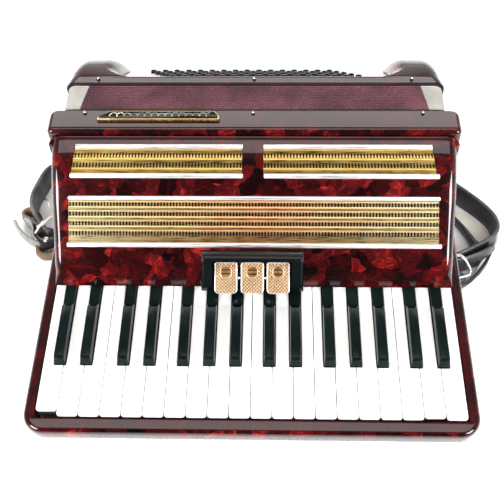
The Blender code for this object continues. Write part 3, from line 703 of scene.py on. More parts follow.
def grille_cover():
    """The curved shell over the reeds, open where the three grilles sit."""
    foot, side_round = COVER_PROFILE[0][1], 8.5
    ys = sorted({*(round(p[0], 3) for p in COVER_LINE), *LOWER_WINDOW, *UPPER_WINDOW})
    bm = bmesh.new()
    rows = []
    for y in [*ys, 44.6, 45.6]:
        z, normal = (cover_height(y), cover_normal(y)) if y <= 43.0 else (
            (180.1, Vector((0, 0.5, 0.87))) if y < 45 else (177.3, Vector((0, 0.95, 0.3))))
        radius = max(0.05, min(side_round, (z - foot) * 0.8))
        lower, upper = window_edges(y)
        right = [Vector((x, y, z)) for x in (10.0, upper, lower, COVER_HALF - radius)]
        for a in quarter(6)[1:]:
            across = COVER_HALF - radius + radius * math.sin(a)
            right.append(Vector((across, y, z)) - normal * radius * (1 - math.cos(a)))
        right.append(Vector((COVER_HALF, right[-1].y, foot)))
        left = [Vector((-p.x, p.y, p.z)) for p in reversed(right)]
        rows.append([bm.verts.new(p) for p in (*left, *right)])
    count = len(rows[0])
    middle = count // 2
    for j in range(len(rows) - 1):
        y = (rows[j][middle].co.y + rows[j + 1][middle].co.y) / 2
        for i in range(count - 1):
            step = i - (middle - 1)
            in_lower = LOWER_WINDOW[0] < y < LOWER_WINDOW[1] and abs(step) <= 2
            if in_lower or UPPER_WINDOW[0] < y < UPPER_WINDOW[1] and abs(step) == 1:
                continue
            bm.faces.new((rows[j][i], rows[j][i + 1], rows[j + 1][i + 1], rows[j + 1][i]))
    cover = piece("grille_cover_shell", bm, PEARL, TREBLE, ["grille_cover"], keep_normals=True)
    thicken(cover, 3.0, 30)


def screen(node, y0, y1, left, right, slots, columns, look):
    """A ribbed metal screen, pierced by rows of slots.

    left and right give its edges at the lower and upper end.
    """
    name = node + "_screen"
    stations = []
    edges = [y0, *(y for pair in slots for y in pair), y1]
    for k, (a, b) in enumerate(zip(edges, edges[1:])):
        pierced = k % 2 == 1
        share = 0.55 if b - a > 4.6 else 1.0
        for t, lift in ((0, 0.0), (0.5, 0.0)) if pierced else (
                (0, 0.0), (0.12, 0.45), (0.3, 0.95), (0.5, 1.1), (0.7, 0.95), (0.88, 0.45)):
            stations.append((a + (b - a) * t, lift * share, pierced))
    stations.append((y1, 0.0, False))
    bm = bmesh.new()
    grid = []
    for y, lift, _ in stations:
        t = (y - y0) / (y1 - y0)
        low_x, high_x = left[0] + (left[1] - left[0]) * t, right[0] + (right[1] - right[0]) * t
        pitch = (high_x - low_x) / columns
        xs = [low_x + pitch * (i // 2 + (0.24 if i % 2 == 0 else 0.76)) for i in range(2 * columns)]
        grid.append([bm.verts.new(on_cover(x, min(y, 42.0), lift - 0.9)) for x in (low_x, *xs, high_x)])
    for j in range(len(stations) - 1):
        for i in range(2 * columns + 1):
            if not (stations[j][2] and i % 2 == 1):
                bm.faces.new((grid[j][i], grid[j][i + 1], grid[j + 1][i + 1], grid[j + 1][i]))
    obj = piece(name, bm, look, TREBLE, [node], smooth=50, keep_normals=True)
    thicken(obj, 0.8, 50)
    backing = bmesh.new()
    steps = 12
    line = [y0 + (y1 - y0) * i / steps for i in range(steps + 1)]
    grid = [[backing.verts.new(on_cover(x, y, -2.4)) for x in (left[1], right[1])] for y in line]
    for near, far in zip(grid, grid[1:]):
        backing.faces.new((near[0], near[1], far[1], far[0]))
    thicken(piece(name + "_backing", backing, BACKING, TREBLE, keep_normals=True), 0.4)


def trim_bar(name, y, x0, x1, width):
    """A half-round silver bar along the cover. width is its reach in Y."""
    height = 2.2
    centre = on_cover(0, y)
    normal = cover_normal(y)
    along = Vector((0, normal.z, -normal.y))
    half = width / 2 / normal.z
    outline = []
    for a in (i * math.pi / 10 for i in range(11)):
        point = centre + along * (-math.cos(a) * half) + normal * (math.sin(a) ** 0.7 * height)
        outline.append((point.y, point.z))
    base = [centre + along * half - normal * 1.0, centre - along * half - normal * 1.0]
    outline += [(p.y, p.z) for p in base]
    bm = bmesh.new()
    prism(bm, outline, "X", x0, x1)
    round_edges(bm, lambda a, b: abs(a.x - b.x) < 0.01, 0.5, 2)
    piece(name, bm, SILVER, TREBLE)


def grilles():
    lower = ((-33.7, -30.6), (-26.8, -23.8), (-20.3, -17.2), (-13.6, -10.7))
    upper = ((14.7, 18.7), (23.3, 27.2))
    screen("grille_lower", -40.4, -7.2, (-179, -177), (179, 177), lower, 117, GRILLE_GOLD)
    screen("grille_upper_left", 8.2, 32.8, (-174.5, -170), (-10.2, -10.2), upper, 53, UPPER_GILT)
    screen("grille_upper_right", 8.2, 32.8, (10.2, 10.2), (174.5, 170), upper, 53, UPPER_GILT)
    for name, y, x0, x1, width in (
            ("lower_top", -7.6, -177.0, 178.0, 3.0), ("lower_bottom", -40.0, -180.0, 181.4, 3.6),
            ("left_top", 32.7, -169.8, -9.4, 4.2), ("left_bottom", 8.4, -174.8, -9.3, 3.8),
            ("right_top", 32.7, 10.1, 170.3, 4.2), ("right_bottom", 8.4, 10.8, 176.9, 3.8)):
        trim_bar("trim_" + name, y, x0, x1, width)


# ---------------------------------------------------------------- register switches

SLOPE = math.radians(35.8)
SWITCH_MIDDLE = (-66.5, 101.0)


def slope_point(along, above):
    """A point in the YZ plane of the switches, measured from the middle of their faces."""
    cos, sin = math.cos(SLOPE), math.sin(SLOPE)
    return (SWITCH_MIDDLE[0] + along * cos - above * sin, SWITCH_MIDDLE[1] + along * sin + above * cos)


def register_housing():
    """A glossy hood over the register switches, whose sides flare towards the keys."""
    front = [(slope_point(*at), narrow) for at, narrow in (
        ((-9.5, 1.0), 0.86), ((-1.0, 3.0), 0.88), ((9.0, 5.5), 0.915), ((16.0, 7.2), 0.94),
        ((18.2, 7.5), 0.945), ((19.8, 7.2), 0.95), ((20.9, 6.4), 0.955), ((21.5, 5.3), 0.96))]
    base = [(-44.4, 115.8), (-57.3, 103.0), (-64.8, 90.0), (-74.5, 90.0)]
    rings = []
    for side in (-1, 1):
        for a in quarter(9) if side < 0 else reversed(quarter(9)):
            ring = []
            for k, ((y, z), narrow) in enumerate(front):
                t = k / (len(front) - 1)
                foot = Vector((-74.0 + 29.0 * t, 90.6 + 25.0 * t))
                at = foot + (Vector((y, z)) - foot) * math.sin(a) ** 0.8
                ring.append((side * 49.5 * (narrow + (1 - narrow) * math.cos(a) ** 1.3), at.x, at.y))
            rings.append(ring + [(side * 49.5, y, z) for y, z in base])
    bm = bmesh.new()
    loft(bm, rings)
    housing = piece("register_housing_shell", bm, BLACK, TREBLE, ["register_housing"])
    opening = bmesh.new()
    corners = ((-60, -30), (-60, 30), (15.8, 30), (15.8, -30))
    prism(opening, [slope_point(*at) for at in corners], "X", -38.6, 38.0)
    carve(housing, opening)
    back = bmesh.new()
    corners = ((-14, -5.2), (14, -5.2), (14, -6.0), (-14, -6.0))
    prism(back, [slope_point(*at) for at in corners], "X", -38.2, 37.6)
    piece("register_floor", back, BLACK, TREBLE)
    axle = bmesh.new()
    y, z = slope_point(0, -1.3)
    for x in (-12.8, 12.5):
        ball(axle, (x, y - 0.4, z + 0.8), 1.5)
    rod(axle, (-26, y, z - 0.6), (26, y, z - 0.6), 0.6, 10)
    piece("register_axle", axle, CHROME, TREBLE)


def switch_corner(y):
    return 2.5 if y > 0 else 4.5


def switch_face(x, y, width, length):
    """The height of a switch's face and its material.

    It has a rim, a crossed lattice, and a plain disc for the mark.
    """
    half_x, half_y, corner = width / 2, length / 2, switch_corner(y)
    dx, dy = max(0.0, abs(x) - half_x + corner), max(0.0, abs(y) - half_y + corner)
    inside = corner - math.hypot(dx, dy) if dx and dy else min(half_x - abs(x), half_y - abs(y))
    if inside < 1.15:
        return 0.8 * math.sin(min(1.0, max(0.0, inside) / 1.15 * 0.88 + 0.12) * math.pi) ** 0.6, 0
    disc = math.hypot(x, y - length * 0.19)
    if disc < 5.3:
        return 0.1, 1
    if disc < 5.9:
        return 0.35, 3
    pitch = 3.3
    first = abs(((x + y) / pitch) % 1.0 - 0.5)
    second = abs(((x - y) / pitch) % 1.0 - 0.5)
    ridge = max(0.0, 1 - 4.0 * (0.5 - max(first, second)))
    return 0.5 * ridge, 3 if ridge > 0.5 else 1


def register_switch(index):
    name = f"register_switch_{index + 1}"
    x_mid = (-25.6, 0.0, 25.0)[index]
    width, length, thick = 22.2, 31.0, 2.5
    tilt = math.radians((0.0, 3.0, 0.0)[index])
    columns, rows = 96, 132
    bm = bmesh.new()

    def plan(i, j):
        x, y = (i / columns - 0.5) * width, (j / rows - 0.5) * length
        corner = switch_corner(y)
        dx, dy = abs(x) - width / 2 + corner, abs(y) - length / 2 + corner
        if dx > 0 and dy > 0:
            scale = max(dx, dy) / math.hypot(dx, dy)
            x = math.copysign(width / 2 - corner + dx * scale, x)
            y = math.copysign(length / 2 - corner + dy * scale, y)
        return x, y

    def put(x, y, above):
        cos, sin = math.cos(tilt), math.sin(tilt)
        above += thick / 2
        a, b = slope_point(y * cos - above * sin, y * sin + above * cos - thick / 2)
        return x_mid + x, a, b

    grid = [[bm.verts.new(put(x, y, switch_face(x, y, width, length)[0]))
             for x, y in (plan(i, j) for i in range(columns + 1))] for j in range(rows + 1)]
    for j in range(rows):
        for i in range(columns):
            face = bm.faces.new((grid[j][i], grid[j][i + 1], grid[j + 1][i + 1], grid[j + 1][i]))
            face.material_index = switch_face(*plan(i + 0.5, j + 0.5), width, length)[1]
    walk = [(i, 0) for i in range(columns)] + [(columns, j) for j in range(rows)]
    walk += [(i, rows) for i in range(columns, 0, -1)] + [(0, j) for j in range(rows, 0, -1)]
    floor = [bm.verts.new(put(*plan(i, j), -thick)) for i, j in walk]
    for k, (i, j) in enumerate(walk):
        i2, j2 = walk[(k + 1) % len(walk)]
        bm.faces.new((grid[j2][i2], grid[j][i], floor[k], floor[(k + 1) % len(walk)]))
    bm.faces.new(floor)
    mark = length * 0.19
    for y in (mark + 1.95, mark - 1.95):
        corners = ((-3.8, y - 0.5), (3.8, y - 0.5), (3.8, y + 0.5), (-3.8, y + 0.5))
        loft(bm, [[put(a, b, lift) for a, b in corners] for lift in (0.05, 0.35)], 2)
    ball(bm, put(0, mark, 0.15), 0.5, 2, 10)
    piece(name + "_plate", bm, [SILVER, SWITCH_GOLD, BLACK, SWITCH_LINE], name, [name], smooth=60)


# ---------------------------------------------------------------- name plate, pins, gaskets


def name_plate():
    """A black plate with pointed ends and a gilt border; the maker's lettering is left out."""
    x0, x1, y0, y1, base = -151.5, -32.3, 58.5, 70.2, CASE_TOP
    middle = (y0 + y1) / 2

    def outline(inset):
        return [(x0 + 0.4 + inset * 1.2, y0 + inset), (x1 - 1.2 - inset, y0 + inset),
                (x1 - inset, y0 + 2 + inset), (x1 - 0.6 - inset, middle),
                (x1 - 5.0 - inset * 0.6, y1 - inset), (x0 + 11.5 + inset * 0.4, y1 - inset),
                (x0 + inset * 1.6, y0 + 2.2 + inset)]

    bm = bmesh.new()
    prism(bm, outline(0), "Z", base - 0.5, base + 3.4)
    round_edges(bm, lambda a, b: min(a.z, b.z) > base + 3, 1.0, 3)
    piece("name_plate", bm, GOLD, TREBLE)
    enamel = bmesh.new()
    prism(enamel, outline(1.5), "Z", base + 3.0, base + 3.7)
    round_edges(enamel, lambda a, b: min(a.z, b.z) > base + 3.6, 0.25, 2)
    piece("name_plate_enamel", enamel, BLACK, TREBLE)
    line = bmesh.new()
    path = []
    for i in range(560):
        turn = i * 0.17
        x = x0 + 13 + turn * 1.06 - 1.7 * math.sin(turn)
        path.append((x, middle - 2.5 * math.cos(turn) * (0.75 + 0.25 * math.sin(turn * 0.23)), base + 3.8))
    tube(line, [p for p in path if p[0] < x1 - 9], 0.55, 6)
    piece("name_plate_ornament", line, BRASS_PALE, TREBLE)


def pins():
    for name, body, y, xs in (("treble_pins", TREBLE, 69.5, (-164.5, -0.2, 163.8)),
                              ("bass_pins", BASS, 115.6, (-157.0, 0.0, 157.3))):
        bm = bmesh.new()
        for x in xs:
            # Each chrome ball sits on a collar coloured black, painted shade for the shadow beneath the
            # ball.
            profile = ((0, -0.5), (2.0, -0.5), (2.0, 0.3), (1.6, 0.6), (0, 0.6))
            lathe(bm, profile, (x, y, CASE_TOP), (0, 0, 1), 16, 1)
            ball(bm, (x, y, CASE_TOP + 1.6), 1.6, 0, 18)
        piece(name, bm, [CHROME, BLACK], body)


def band(bm, y0, y1, half, low, high, radius, inner):
    """A rounded rectangular ring from y0 to y1, with walls of the given depth."""
    def loop(h, lo, hi, r):
        centres = ((h - r, hi - r), (r - h, hi - r), (r - h, lo + r), (h - r, lo + r))
        return [point for k, centre in enumerate(centres)
                for point in arc(centre, r, 90 * k, 90 * (k + 1), 6)]

    loft(bm, [
        [(x, y, z) for x, z in loop(half - shrink, low + shrink, high - shrink, max(1.0, radius - shrink))]
        for y, shrink in ((y0, inner), (y0, 0), (y1, 0), (y1, inner))
    ], closed=True)


# ---------------------------------------------------------------- bellows

FOLDS = 15
BELLOWS_DEPTH = 11.0


def unsmooth(u):
    """The inverse of the smoothstep curve."""
    return 0.5 - math.sin(math.asin(1 - 2 * u) / 3)


def bellows():
    """One cloth surface in folds, with white leather over the corners of the folds."""
    y0, y1 = reach("treble_bellows_frame")[0].y, reach("bass_bellows_frame")[1].y
    half, low, high, radius = 188.0, 1.5, 183.6, 9.0
    leather = 24.0
    bm = bmesh.new()

    def spaced(a, b, count):
        return [a + (b - a) * i / count for i in range(count)]

    def loop(inset, y):
        """The outline at one Y, from the right side's middle over the top, with its materials."""
        h, lo, hi, r = half - inset, low + inset, high - inset, radius - inset * 0.5
        edge = 166.0 + (107.6 - y) * 0.17
        run = [(h, z, 0) for z in spaced((lo + hi) / 2, high - leather, 6)]
        run += [(h, z, 1) for z in spaced(high - leather, hi - r, 3)]
        run += [(*p, 1) for p in arc((h - r, hi - r), r, 0, 90, 5)[:-1]]
        run += [(x, hi, 1) for x in spaced(h - r, edge, 2)] + [(x, hi, 0) for x in spaced(edge, 0, 12)]
        whole = [*run, (0.0, hi, 0)]
        back = [(whole[i][0], whole[i][1], whole[i - 1][2]) for i in range(len(run), 0, -1)]
        return (run + [(-x, z, k) for x, z, k in back] + [(-x, lo + hi - z, k) for x, z, k in run]
                + [(x, lo + hi - z, k) for x, z, k in back])

    stations = []
    for k in range(FOLDS):
        for part, inset in ((0.0, 1.0), (0.30, 0.16), (0.42, 0.03), (0.5, 0.0), (0.58, 0.03), (0.70, 0.16)):
            stations.append(((k + part) / FOLDS, inset * BELLOWS_DEPTH))
    stations.append((1.0, BELLOWS_DEPTH))
    rings, kinds = [], []
    for u, inset in stations:
        y = y0 + (y1 - y0) * (0.45 * u + 0.55 * unsmooth(u))
        points = loop(inset, y)
        rings.append([bm.verts.new((x, y, z)) for x, z, _ in points])
        kinds = [k for _, _, k in points]
    join(bm, rings[::-1], kinds)
    obj = piece("bellows_folds", bm, [BELLOWS_CLOTH, CORNER_LEATHER], None, smooth=40, keep_normals=True)
    thicken(obj, 0.4, 40)
    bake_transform(obj)
    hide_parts("bellows")


def gaskets():
    """The dark leather seals where the bellows meet the two casings."""
    for side, body, size in (("treble", TREBLE, (73.1, 74.1, 189.9, 0.8, 185.2)),
                             ("bass", BASS, (110.0, 111.3, 189.6, 0.7, 184.3))):
        bm = bmesh.new()
        band(bm, *size, 10.0, 14.0)
        piece(side + "_gasket", bm, GASKET, body, [side + "_bellows_frame"])


# ---------------------------------------------------------------- bass side

BASS_FRONT, BASS_REAR = 111.4, 190.0
BOARD_TOP, BOARD_FOOT = (121.5, 177.5), (188.0, 125.0)
SCOOP_RIM, SCOOP_HALF = 118.5, 140.0
HORN_START, HORN_DROP, HORN_POWER = 118.0, 60.0, 1.7
BUTTON_ROWS, BUTTON_COLUMNS = 5, 16
AIR_BUTTON = (118, BASS_REAR, 108)


def board_point(x, along, above):
    down = Vector((0, BOARD_FOOT[0] - BOARD_TOP[0], BOARD_FOOT[1] - BOARD_TOP[1])).normalized()
    return Vector((x, *BOARD_TOP)) + down * along + Vector((0, -down.z, down.y)) * above


def board_height(y):
    slope = (BOARD_FOOT[1] - BOARD_TOP[1]) / (BOARD_FOOT[0] - BOARD_TOP[0])
    return BOARD_TOP[1] + (y - BOARD_TOP[0]) * slope


def button_place(row, column):
    return -84.2 + column * 12.7 - row * 6.6, 9.5 + row * 13.0


def button_holes(low, high, radius, sides):
    """What is cut out for the buttons, between two heights above the board."""
    bm = bmesh.new()
    for row in range(BUTTON_ROWS):
        for column in range(BUTTON_COLUMNS):
            x, along = button_place(row, column)
            rod(bm, board_point(x, along, low), board_point(x, along, high), radius, sides)
    return bm


def horn_height(y):
    """The height of the casing's top, which rounds down to the rear."""
    along = clamp((y - HORN_START) / (BASS_REAR - HORN_START))
    return CASE_TOP - HORN_DROP * (1 - (1 - along**HORN_POWER) ** (1 / HORN_POWER))


def mirrored(right):
    return [*right, *((-x, z) for x, z in reversed(right))]


def bass_section(y):
    """The casing's outline at one Y: upright low down, leaning in above, with round top corners."""
    t = (y - BASS_FRONT) / (BASS_REAR - BASS_FRONT)
    shrink = 4.0 - math.sqrt(max(0.0, 16.0 - max(0.0, y - BASS_REAR + 4.0) ** 2))
    half, top = 190.5 - shrink, horn_height(y) - shrink
    radius = 10 + 5 * min(1.0, (y - BASS_FRONT) / 12)
    narrow = half - 6.0 * t
    return mirrored([(half, 0), (half, 30), (half, 60),
                     *arc((narrow - radius, top - radius), radius, 0, 90, 10)])


def scoop_half(y):
    """Half the width of the hollow for the buttons, with round corners next to the rim."""
    across = min(18.0, y - SCOOP_RIM)
    return SCOOP_HALF - 18.0 + math.sqrt(max(0.0, 18.0**2 - (18.0 - across) ** 2))


def scoop_section(y):
    """What is hollowed out at one Y, between curling horns: the rim's round edge, then the board."""
    if y < BOARD_TOP[0]:
        floor = CASE_TOP - 3.0 + math.sqrt(max(0.0, 9.0 - (y - SCOOP_RIM) ** 2))
    else:
        floor = board_height(y)
    half, top = scoop_half(y), horn_height(y) + 0.15
    curl = 3.0 + 14.0 * clamp((y - BOARD_TOP[0]) / 15)
    curl = max(0.1, min(curl, top - floor - 0.2))
    return mirrored([(half, floor), *(
        (half + curl - curl * math.cos(a), top - curl + curl * math.sin(a)) for a in quarter(10)),
        (half + curl, 230)])


def bass_casing():
    """The pearl box behind the bellows, hollowed between two horns down to the cream button board."""
    def raised(section, ys):
        return [[(x, y, z) for x, z in section(y)] for y in ys]

    bm = bmesh.new()
    ys = [BASS_FRONT, 113.4, 115.4, 117.4, 119.4, 121.4, 123.4, *range(126, 176, 4), 176, 179, 182, 184,
          186, 187.4, 188.6, 189.5, BASS_REAR]
    loft(bm, raised(bass_section, ys))
    casing = piece("bass_casing_shell", bm, [PEARL, WOOD], BASS, ["bass_casing"])
    scoop = bmesh.new()
    ys = [118.53, 118.8, 119.3, 119.9, 120.5, 121.0, 121.4, 121.5, 122.6, 124, 125.6, 127.4, 129.5, 132,
          135, 138.5, *range(142, 190, 4), BASS_REAR]
    sections = raised(scoop_section, ys)
    beyond = [(x, BASS_REAR + 5, z) for x, _, z in sections[-1]]
    loft(scoop, [*sections, beyond])
    carve(casing, scoop)
    core = bmesh.new()
    top, foot = board_point(0, 2.2, -4.0), board_point(0, 62, -4.0)
    prism(core, ((BASS_FRONT - 5, 6), (BASS_FRONT - 5, top.z), (top.y, top.z), (foot.y, foot.z),
                 (BASS_REAR - 6, 115), (BASS_REAR - 6, 6)), "X", -184.5, 184.5)
    for vert in core.verts:
        vert.co.x -= math.copysign(2.5 + 0.075 * (vert.co.z - 6), vert.co.x)
    carve(casing, core)
    holes = button_holes(-12, 12, 3.7, 12)
    x, y, z = AIR_BUTTON
    rod(holes, (x, y - 12, z), (x, y + 5, z), 4.9, 20)
    carve(casing, holes)
    board = bmesh.new()
    run = [122.3, 123, 124, 125.5, 127.5, 130, 133, 136.5, 187.2]
    outline = [(scoop_half(y) - 0.7, y) for y in run]
    outline = mirrored(outline)
    loft(board, [[(x, y, board_height(y) + lift) for x, y in outline] for lift in (0.2, 1.7)])
    round_edges(board, lambda a, b: min(a.z - board_height(a.y), b.z - board_height(b.y)) > 1.5, 0.5, 2)
    plate = piece("button_board", board, CREAM, BASS)
    carve(plate, button_holes(-3, 6, 3.9, 16))


def buttons():
    normal = board_point(0, 0, 1) - board_point(0, 0, 0)
    for row in range(BUTTON_ROWS):
        bm = bmesh.new()
        for column in range(BUTTON_COLUMNS):
            x, along = button_place(row, column)
            profile = ((0, -14), (2.2, -14), (2.2, -3), (3.3, -3), (3.3, 3.9), (3.1, 4.6), (2.4, 5.1),
                       (1.2, 5.35), (0, 5.4))
            lathe(bm, profile, board_point(x, along, 0), normal, 18)
        corners = [board_point(0, along + a, -16 + b) for a, b in ((-4, -2), (4, -2), (4, 2), (-4, 2))]
        first, last = button_place(row, 0)[0] - 6, button_place(row, BUTTON_COLUMNS - 1)[0] + 6
        prism(bm, [(c.y, c.z) for c in corners], "X", first, last, 1)
        name = f"bass_button_row_{row + 1}"
        piece(name + "_caps", bm, [BLACK, WOOD], name, [name])
    bm = bmesh.new()
    profile = ((0, -12), (4.5, -12), (4.5, 3.2), (4.2, 4.2), (3.4, 4.9), (1.8, 5.3), (0, 5.4))
    lathe(bm, profile, AIR_BUTTON, (0, 1, 0), 28)
    piece("air_button_cap", bm, CHROME, "air_button", ["air_button"])
    collar = bmesh.new()
    lathe(collar, ((4.9, 0.0), (7.2, 0.0), (7.2, 0.5), (6.6, 1.1), (5.4, 1.3), (4.9, 1.0), (4.9, 0.0)),
          AIR_BUTTON, (0, 1, 0), 32)
    piece("air_button_collar", collar, CHROME, BASS)


# ---------------------------------------------------------------- straps


def hand_strap():
    """The padded hand strap across the rear, sewn along both edges, with its end plates and its wheel."""
    wall = BASS_REAR + 2.8
    side = [(-172, wall), (-158, wall + 0.5), (-122, wall + 14), (-60, wall + 25), (0, wall + 28)]
    path = [*side, *((-x, y) for x, y in reversed(side[:-1]))]
    bm = bmesh.new()
    line = strap(bm, path, 35, 92, 3.4, (0, 1, 0), 0.7)
    piece("hand_strap", bm, [STRAP_BLACK, STRAP_BROWN], BASS, ["bass_strap"])
    thread = bmesh.new()
    for (x0, y0), (x1, y1) in zip(line, line[1:]):
        along = Vector((x1 - x0, y1 - y0))
        count = max(1, round(along.length / 4.2))
        outward = Vector((-along.y, along.x)).normalized() * 1.75
        for k in range(count):
            a, b = (k + 0.2) / count, (k + 0.8) / count
            ends = [Vector((x0, y0)) + along * t + outward for t in (a, b)]
            for z in (39.5, 87.5):
                tube(thread, [(*end, z) for end in ends], 0.4, 5)
    piece("hand_strap_thread", thread, FELT, BASS)
    for x in (-165.5, 165.5):
        bm = bmesh.new()
        box(bm, (x - 9, wall + 1.9, 33), (x + 9, wall + 3.3, 94))
        round_edges(bm, lambda a, b: abs(a.y - b.y) > 1, 3.0, 4)
        for z in (46.0, 81.0):
            screw = ((0, 0), (3.0, 0), (2.8, 0.8), (1.8, 1.4), (0, 1.5))
            lathe(bm, screw, (x, wall + 3.2, z), (0, 1, 0), 16)
        piece("hand_strap_plate_" + ("left" if x < 0 else "right"), bm, CHROME, BASS)
    bm = bmesh.new()
    middle, ridges = (160, 46), 40
    rings = []
    for x, radius in ((190.9, 7.0), (190.9, 10.2), (191.6, 11.0), (197.6, 11.0), (198.4, 10.2),
                      (198.4, 5.0), (197.6, 4.2)):
        rings.append([])
        for i in range(2 * ridges):
            a, r = math.pi * i / ridges, radius - 0.5 * (i % 2) * (radius > 10)
            rings[-1].append((x, middle[0] + r * math.cos(a), middle[1] + r * math.sin(a)))
    loft(bm, rings)
    piece("strap_wheel", bm, CHROME, "bass_strap_wheel", ["bass_strap_wheel"])


def end_plate(bm, x, y, z):
    """A small plate on the casing's side that holds a strap."""
    out = math.copysign(1.0, x)
    corners = [(y - 9, z - 7), (y + 9, z - 7), (y + 9, z + 7), (y - 9, z + 7)]
    made = prism(bm, corners, "X", min(x, x + out * 1.6), max(x, x + out * 1.6))
    round_edges(bm, lambda a, b: abs(a.x - b.x) > 1, 3.0, 4, made)
    for dy in (-5.5, 5.5):
        lathe(bm, ((0, 0), (2.2, 0), (2.0, 0.6), (1.2, 1.0), (0, 1.1)), (x + out * 1.5, y + dy, z + 3.5),
              (out, 0, 0), 14)


def tip(t):
    """Narrows a strap to a round end at t = 1."""
    return math.sqrt(max(0.02, 1 - max(0.0, (t - 0.72) / 0.28) ** 2))


def right_strap():
    """The black shoulder strap doubled back through its buckle, with its cream lining, on the right."""
    bm = bmesh.new()
    strap(bm, ((203.2, 112), (220, 109), (237, 96.5), (256, 78), (265.5, 65), (269, 54), (268, 44),
               (262, 35), (250, 26.5), (236, 18.5), (220, 10.5)), 1,
          lambda t: 31 + 14 * max(0.0, 0.35 - t), 4.0, (2, 0, 1), 0.3)
    strap(bm, ((214, 3.5), (226, 5.5), (240, 11), (254, 18.5), (264.5, 28)), lambda t: 15 - 14 * tip(t),
          lambda t: 15 + 14 * tip(t), 3.2, (0, 0, 1), 0.5)
    strap(bm, ((204, 96), (216, 87), (229, 71), (239, 53), (246, 38), (249, 28)), 1, 11, 4.4)
    strap(bm, ((264, 30), (255, 13), (243, -3), (231, -15), (217, -21)), 2, 12, 4.0)
    slab(bm, ((213, 0), (225, 0.5), (231, -6), (227, -12), (213, -16)), lambda x, y: 9.0, 3.0, 1)
    piece("right_strap_leather", bm, [STRAP_BLACK, STRAP_EDGE, STRAP_BLACK], TREBLE,
          ["shoulder_strap_right"])
    lining = bmesh.new()
    slab(lining, ((213, 97), (226, 92), (238, 82), (252, 68), (262, 54), (263, 44), (252, 42), (246, 52),
                  (237, 68), (226, 81), (212, 90)), lambda x, y: 4.0 + 0.05 * (x - 212), 2.6)
    strap(lining, ((272, 46), (269, 36), (257, 20), (247, 5), (238, -9), (228, -20), (214, -29)), 1,
          lambda t: 13 - 4 * t, 5.0, (0, 0, 0), 0.6)
    piece("right_strap_lining", lining, CREAM_LINING, TREBLE)
    buckle = bmesh.new()
    frame_line = [(212, 6.5, 33.4), (220, 5.6, 33.4), (225, 3.6, 32), (231, 2.6, 22), (235.6, 0.2, 12.5),
                  (234, -4.4, 10.6), (226, -7.6, 11), (212, -12.5, 12)]
    tube(buckle, smooth_line(frame_line, 5), 1.7, 12)
    end_plate(buckle, 200.6, 106, 22)
    piece("right_strap_buckle", buckle, SILVER, TREBLE)


def left_strap():
    """The worn shoulder strap on the left, folded over itself, with its tongue, keeper and wire loop."""
    bm = bmesh.new()
    strap(bm, ((-203.2, 122), (-220, 131), (-236, 134), (-246, 127), (-252.5, 110), (-257.5, 91),
               (-257, 77), (-250, 63), (-240, 49), (-231, 40)), 1,
          lambda t: 25 + 6 * math.sin(math.pi * min(1.0, t * 1.3)), 5.0, (2, 1, 0), 0.3)
    strap(bm, ((-232, 44), (-243, 50), (-254, 58), (-266, 68)), 2, lambda t: 13 + 9 * tip(t), 3.6)
    strap(bm, ((-242, 30), (-252, 34.5), (-262, 42), (-271, 52), (-279, 65)), lambda t: 11 - 7 * tip(t),
          lambda t: 11 + 7 * tip(t), 3.4, (3, 3, 3), 0.4)
    strap(bm, ((-264, 62), (-257.5, 58), (-253, 50), (-250.5, 39), (-245, 32)), 5, 21, 2.2, (3, 3, 3))
    strap(bm, ((-228, 36), (-240, 34), (-247, 41), (-240, 48), (-229, 47)), 4, 20, 3.4, (1, 0, 0), 0.6)
    piece("left_strap_leather", bm, [STRAP_GREY, STRAP_DARK, STRAP_GREY, STRAP_PALE], TREBLE,
          ["shoulder_strap_left"])
    suede = bmesh.new()
    strap(suede, ((-250, 70), (-257, 76.5), (-264, 77), (-268, 71), (-262, 63)), 2, 19, 4.0, (0, 0, 0), 0.8)
    strap(suede, ((-246, 33), (-244, 23), (-237, 18.5), (-226, 20), (-212, 25)), 1, 13, 5.0, (0, 0, 0), 0.9)
    piece("left_strap_suede", suede, STRAP_BROWN, TREBLE)
    roll = bmesh.new()
    rod(roll, (-243, 31, 12), (-214, 41, 12), 7.5, 24)
    round_edges(roll, lambda a, b: abs((a - b).length) < 3, 1.6, 3)
    piece("left_strap_roll", roll, STRAP_BLACK, TREBLE)
    metal = bmesh.new()
    rivet = ((0, 0), (3.6, 0), (3.4, 0.9), (2.2, 1.7), (0, 2.0))
    lathe(metal, rivet, (-235, 33.5, 19.2), (0, -0.15, 1), 18)
    tube(metal, smooth_line([(-244, 88, 22), (-240, 83, 26), (-236, 74, 27), (-230, 62, 26)], 5), 1.3, 10)
    end_plate(metal, -200.6, 124, 18)
    piece("left_strap_metal", metal, BRASS_PALE, TREBLE)
    cord = bmesh.new()
    tube(cord, smooth_line([(-246, 46, 24), (-240, 50, 26), (-233, 57, 27), (-227, 62, 26)], 5), 1.9, 10)
    tube(cord, smooth_line([(-248, 40, 22), (-243, 46, 26), (-241, 54, 25)], 4), 1.2, 8)
    piece("left_strap_ties", cord, CREAM_LINING, TREBLE)


def kept_nodes():
    """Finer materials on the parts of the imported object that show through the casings."""
    for name, look in (("key_axle", CHROME), ("treble_reed_block", WOOD)):
        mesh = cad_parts[name].data
        if mesh.materials:
            mesh.materials[0] = look
        else:
            mesh.materials.append(look)


keys()
keyboard_bed()
treble_casing()
grille_cover()
grilles()
register_housing()
for number in range(3):
    register_switch(number)
name_plate()
pins()
gaskets()
bellows()
bass_casing()
buttons()
hand_strap()
right_strap()
left_strap()
kept_nodes()


# ---------------------------------------------------------------- stage, light and camera


def stage():
    """A plain floor, 8 m across."""
    bm = bmesh.new()
    size = 4000.0
    bm.faces.new([bm.verts.new((x * size, y * size, 0)) for x, y in ((-1, -1), (1, -1), (1, 1), (-1, 1))])
    look = Paint("pale_floor", (0.98, 0.98, 0.98), 0.95).material
    piece("floor", bm, look, None, keep_normals=True)


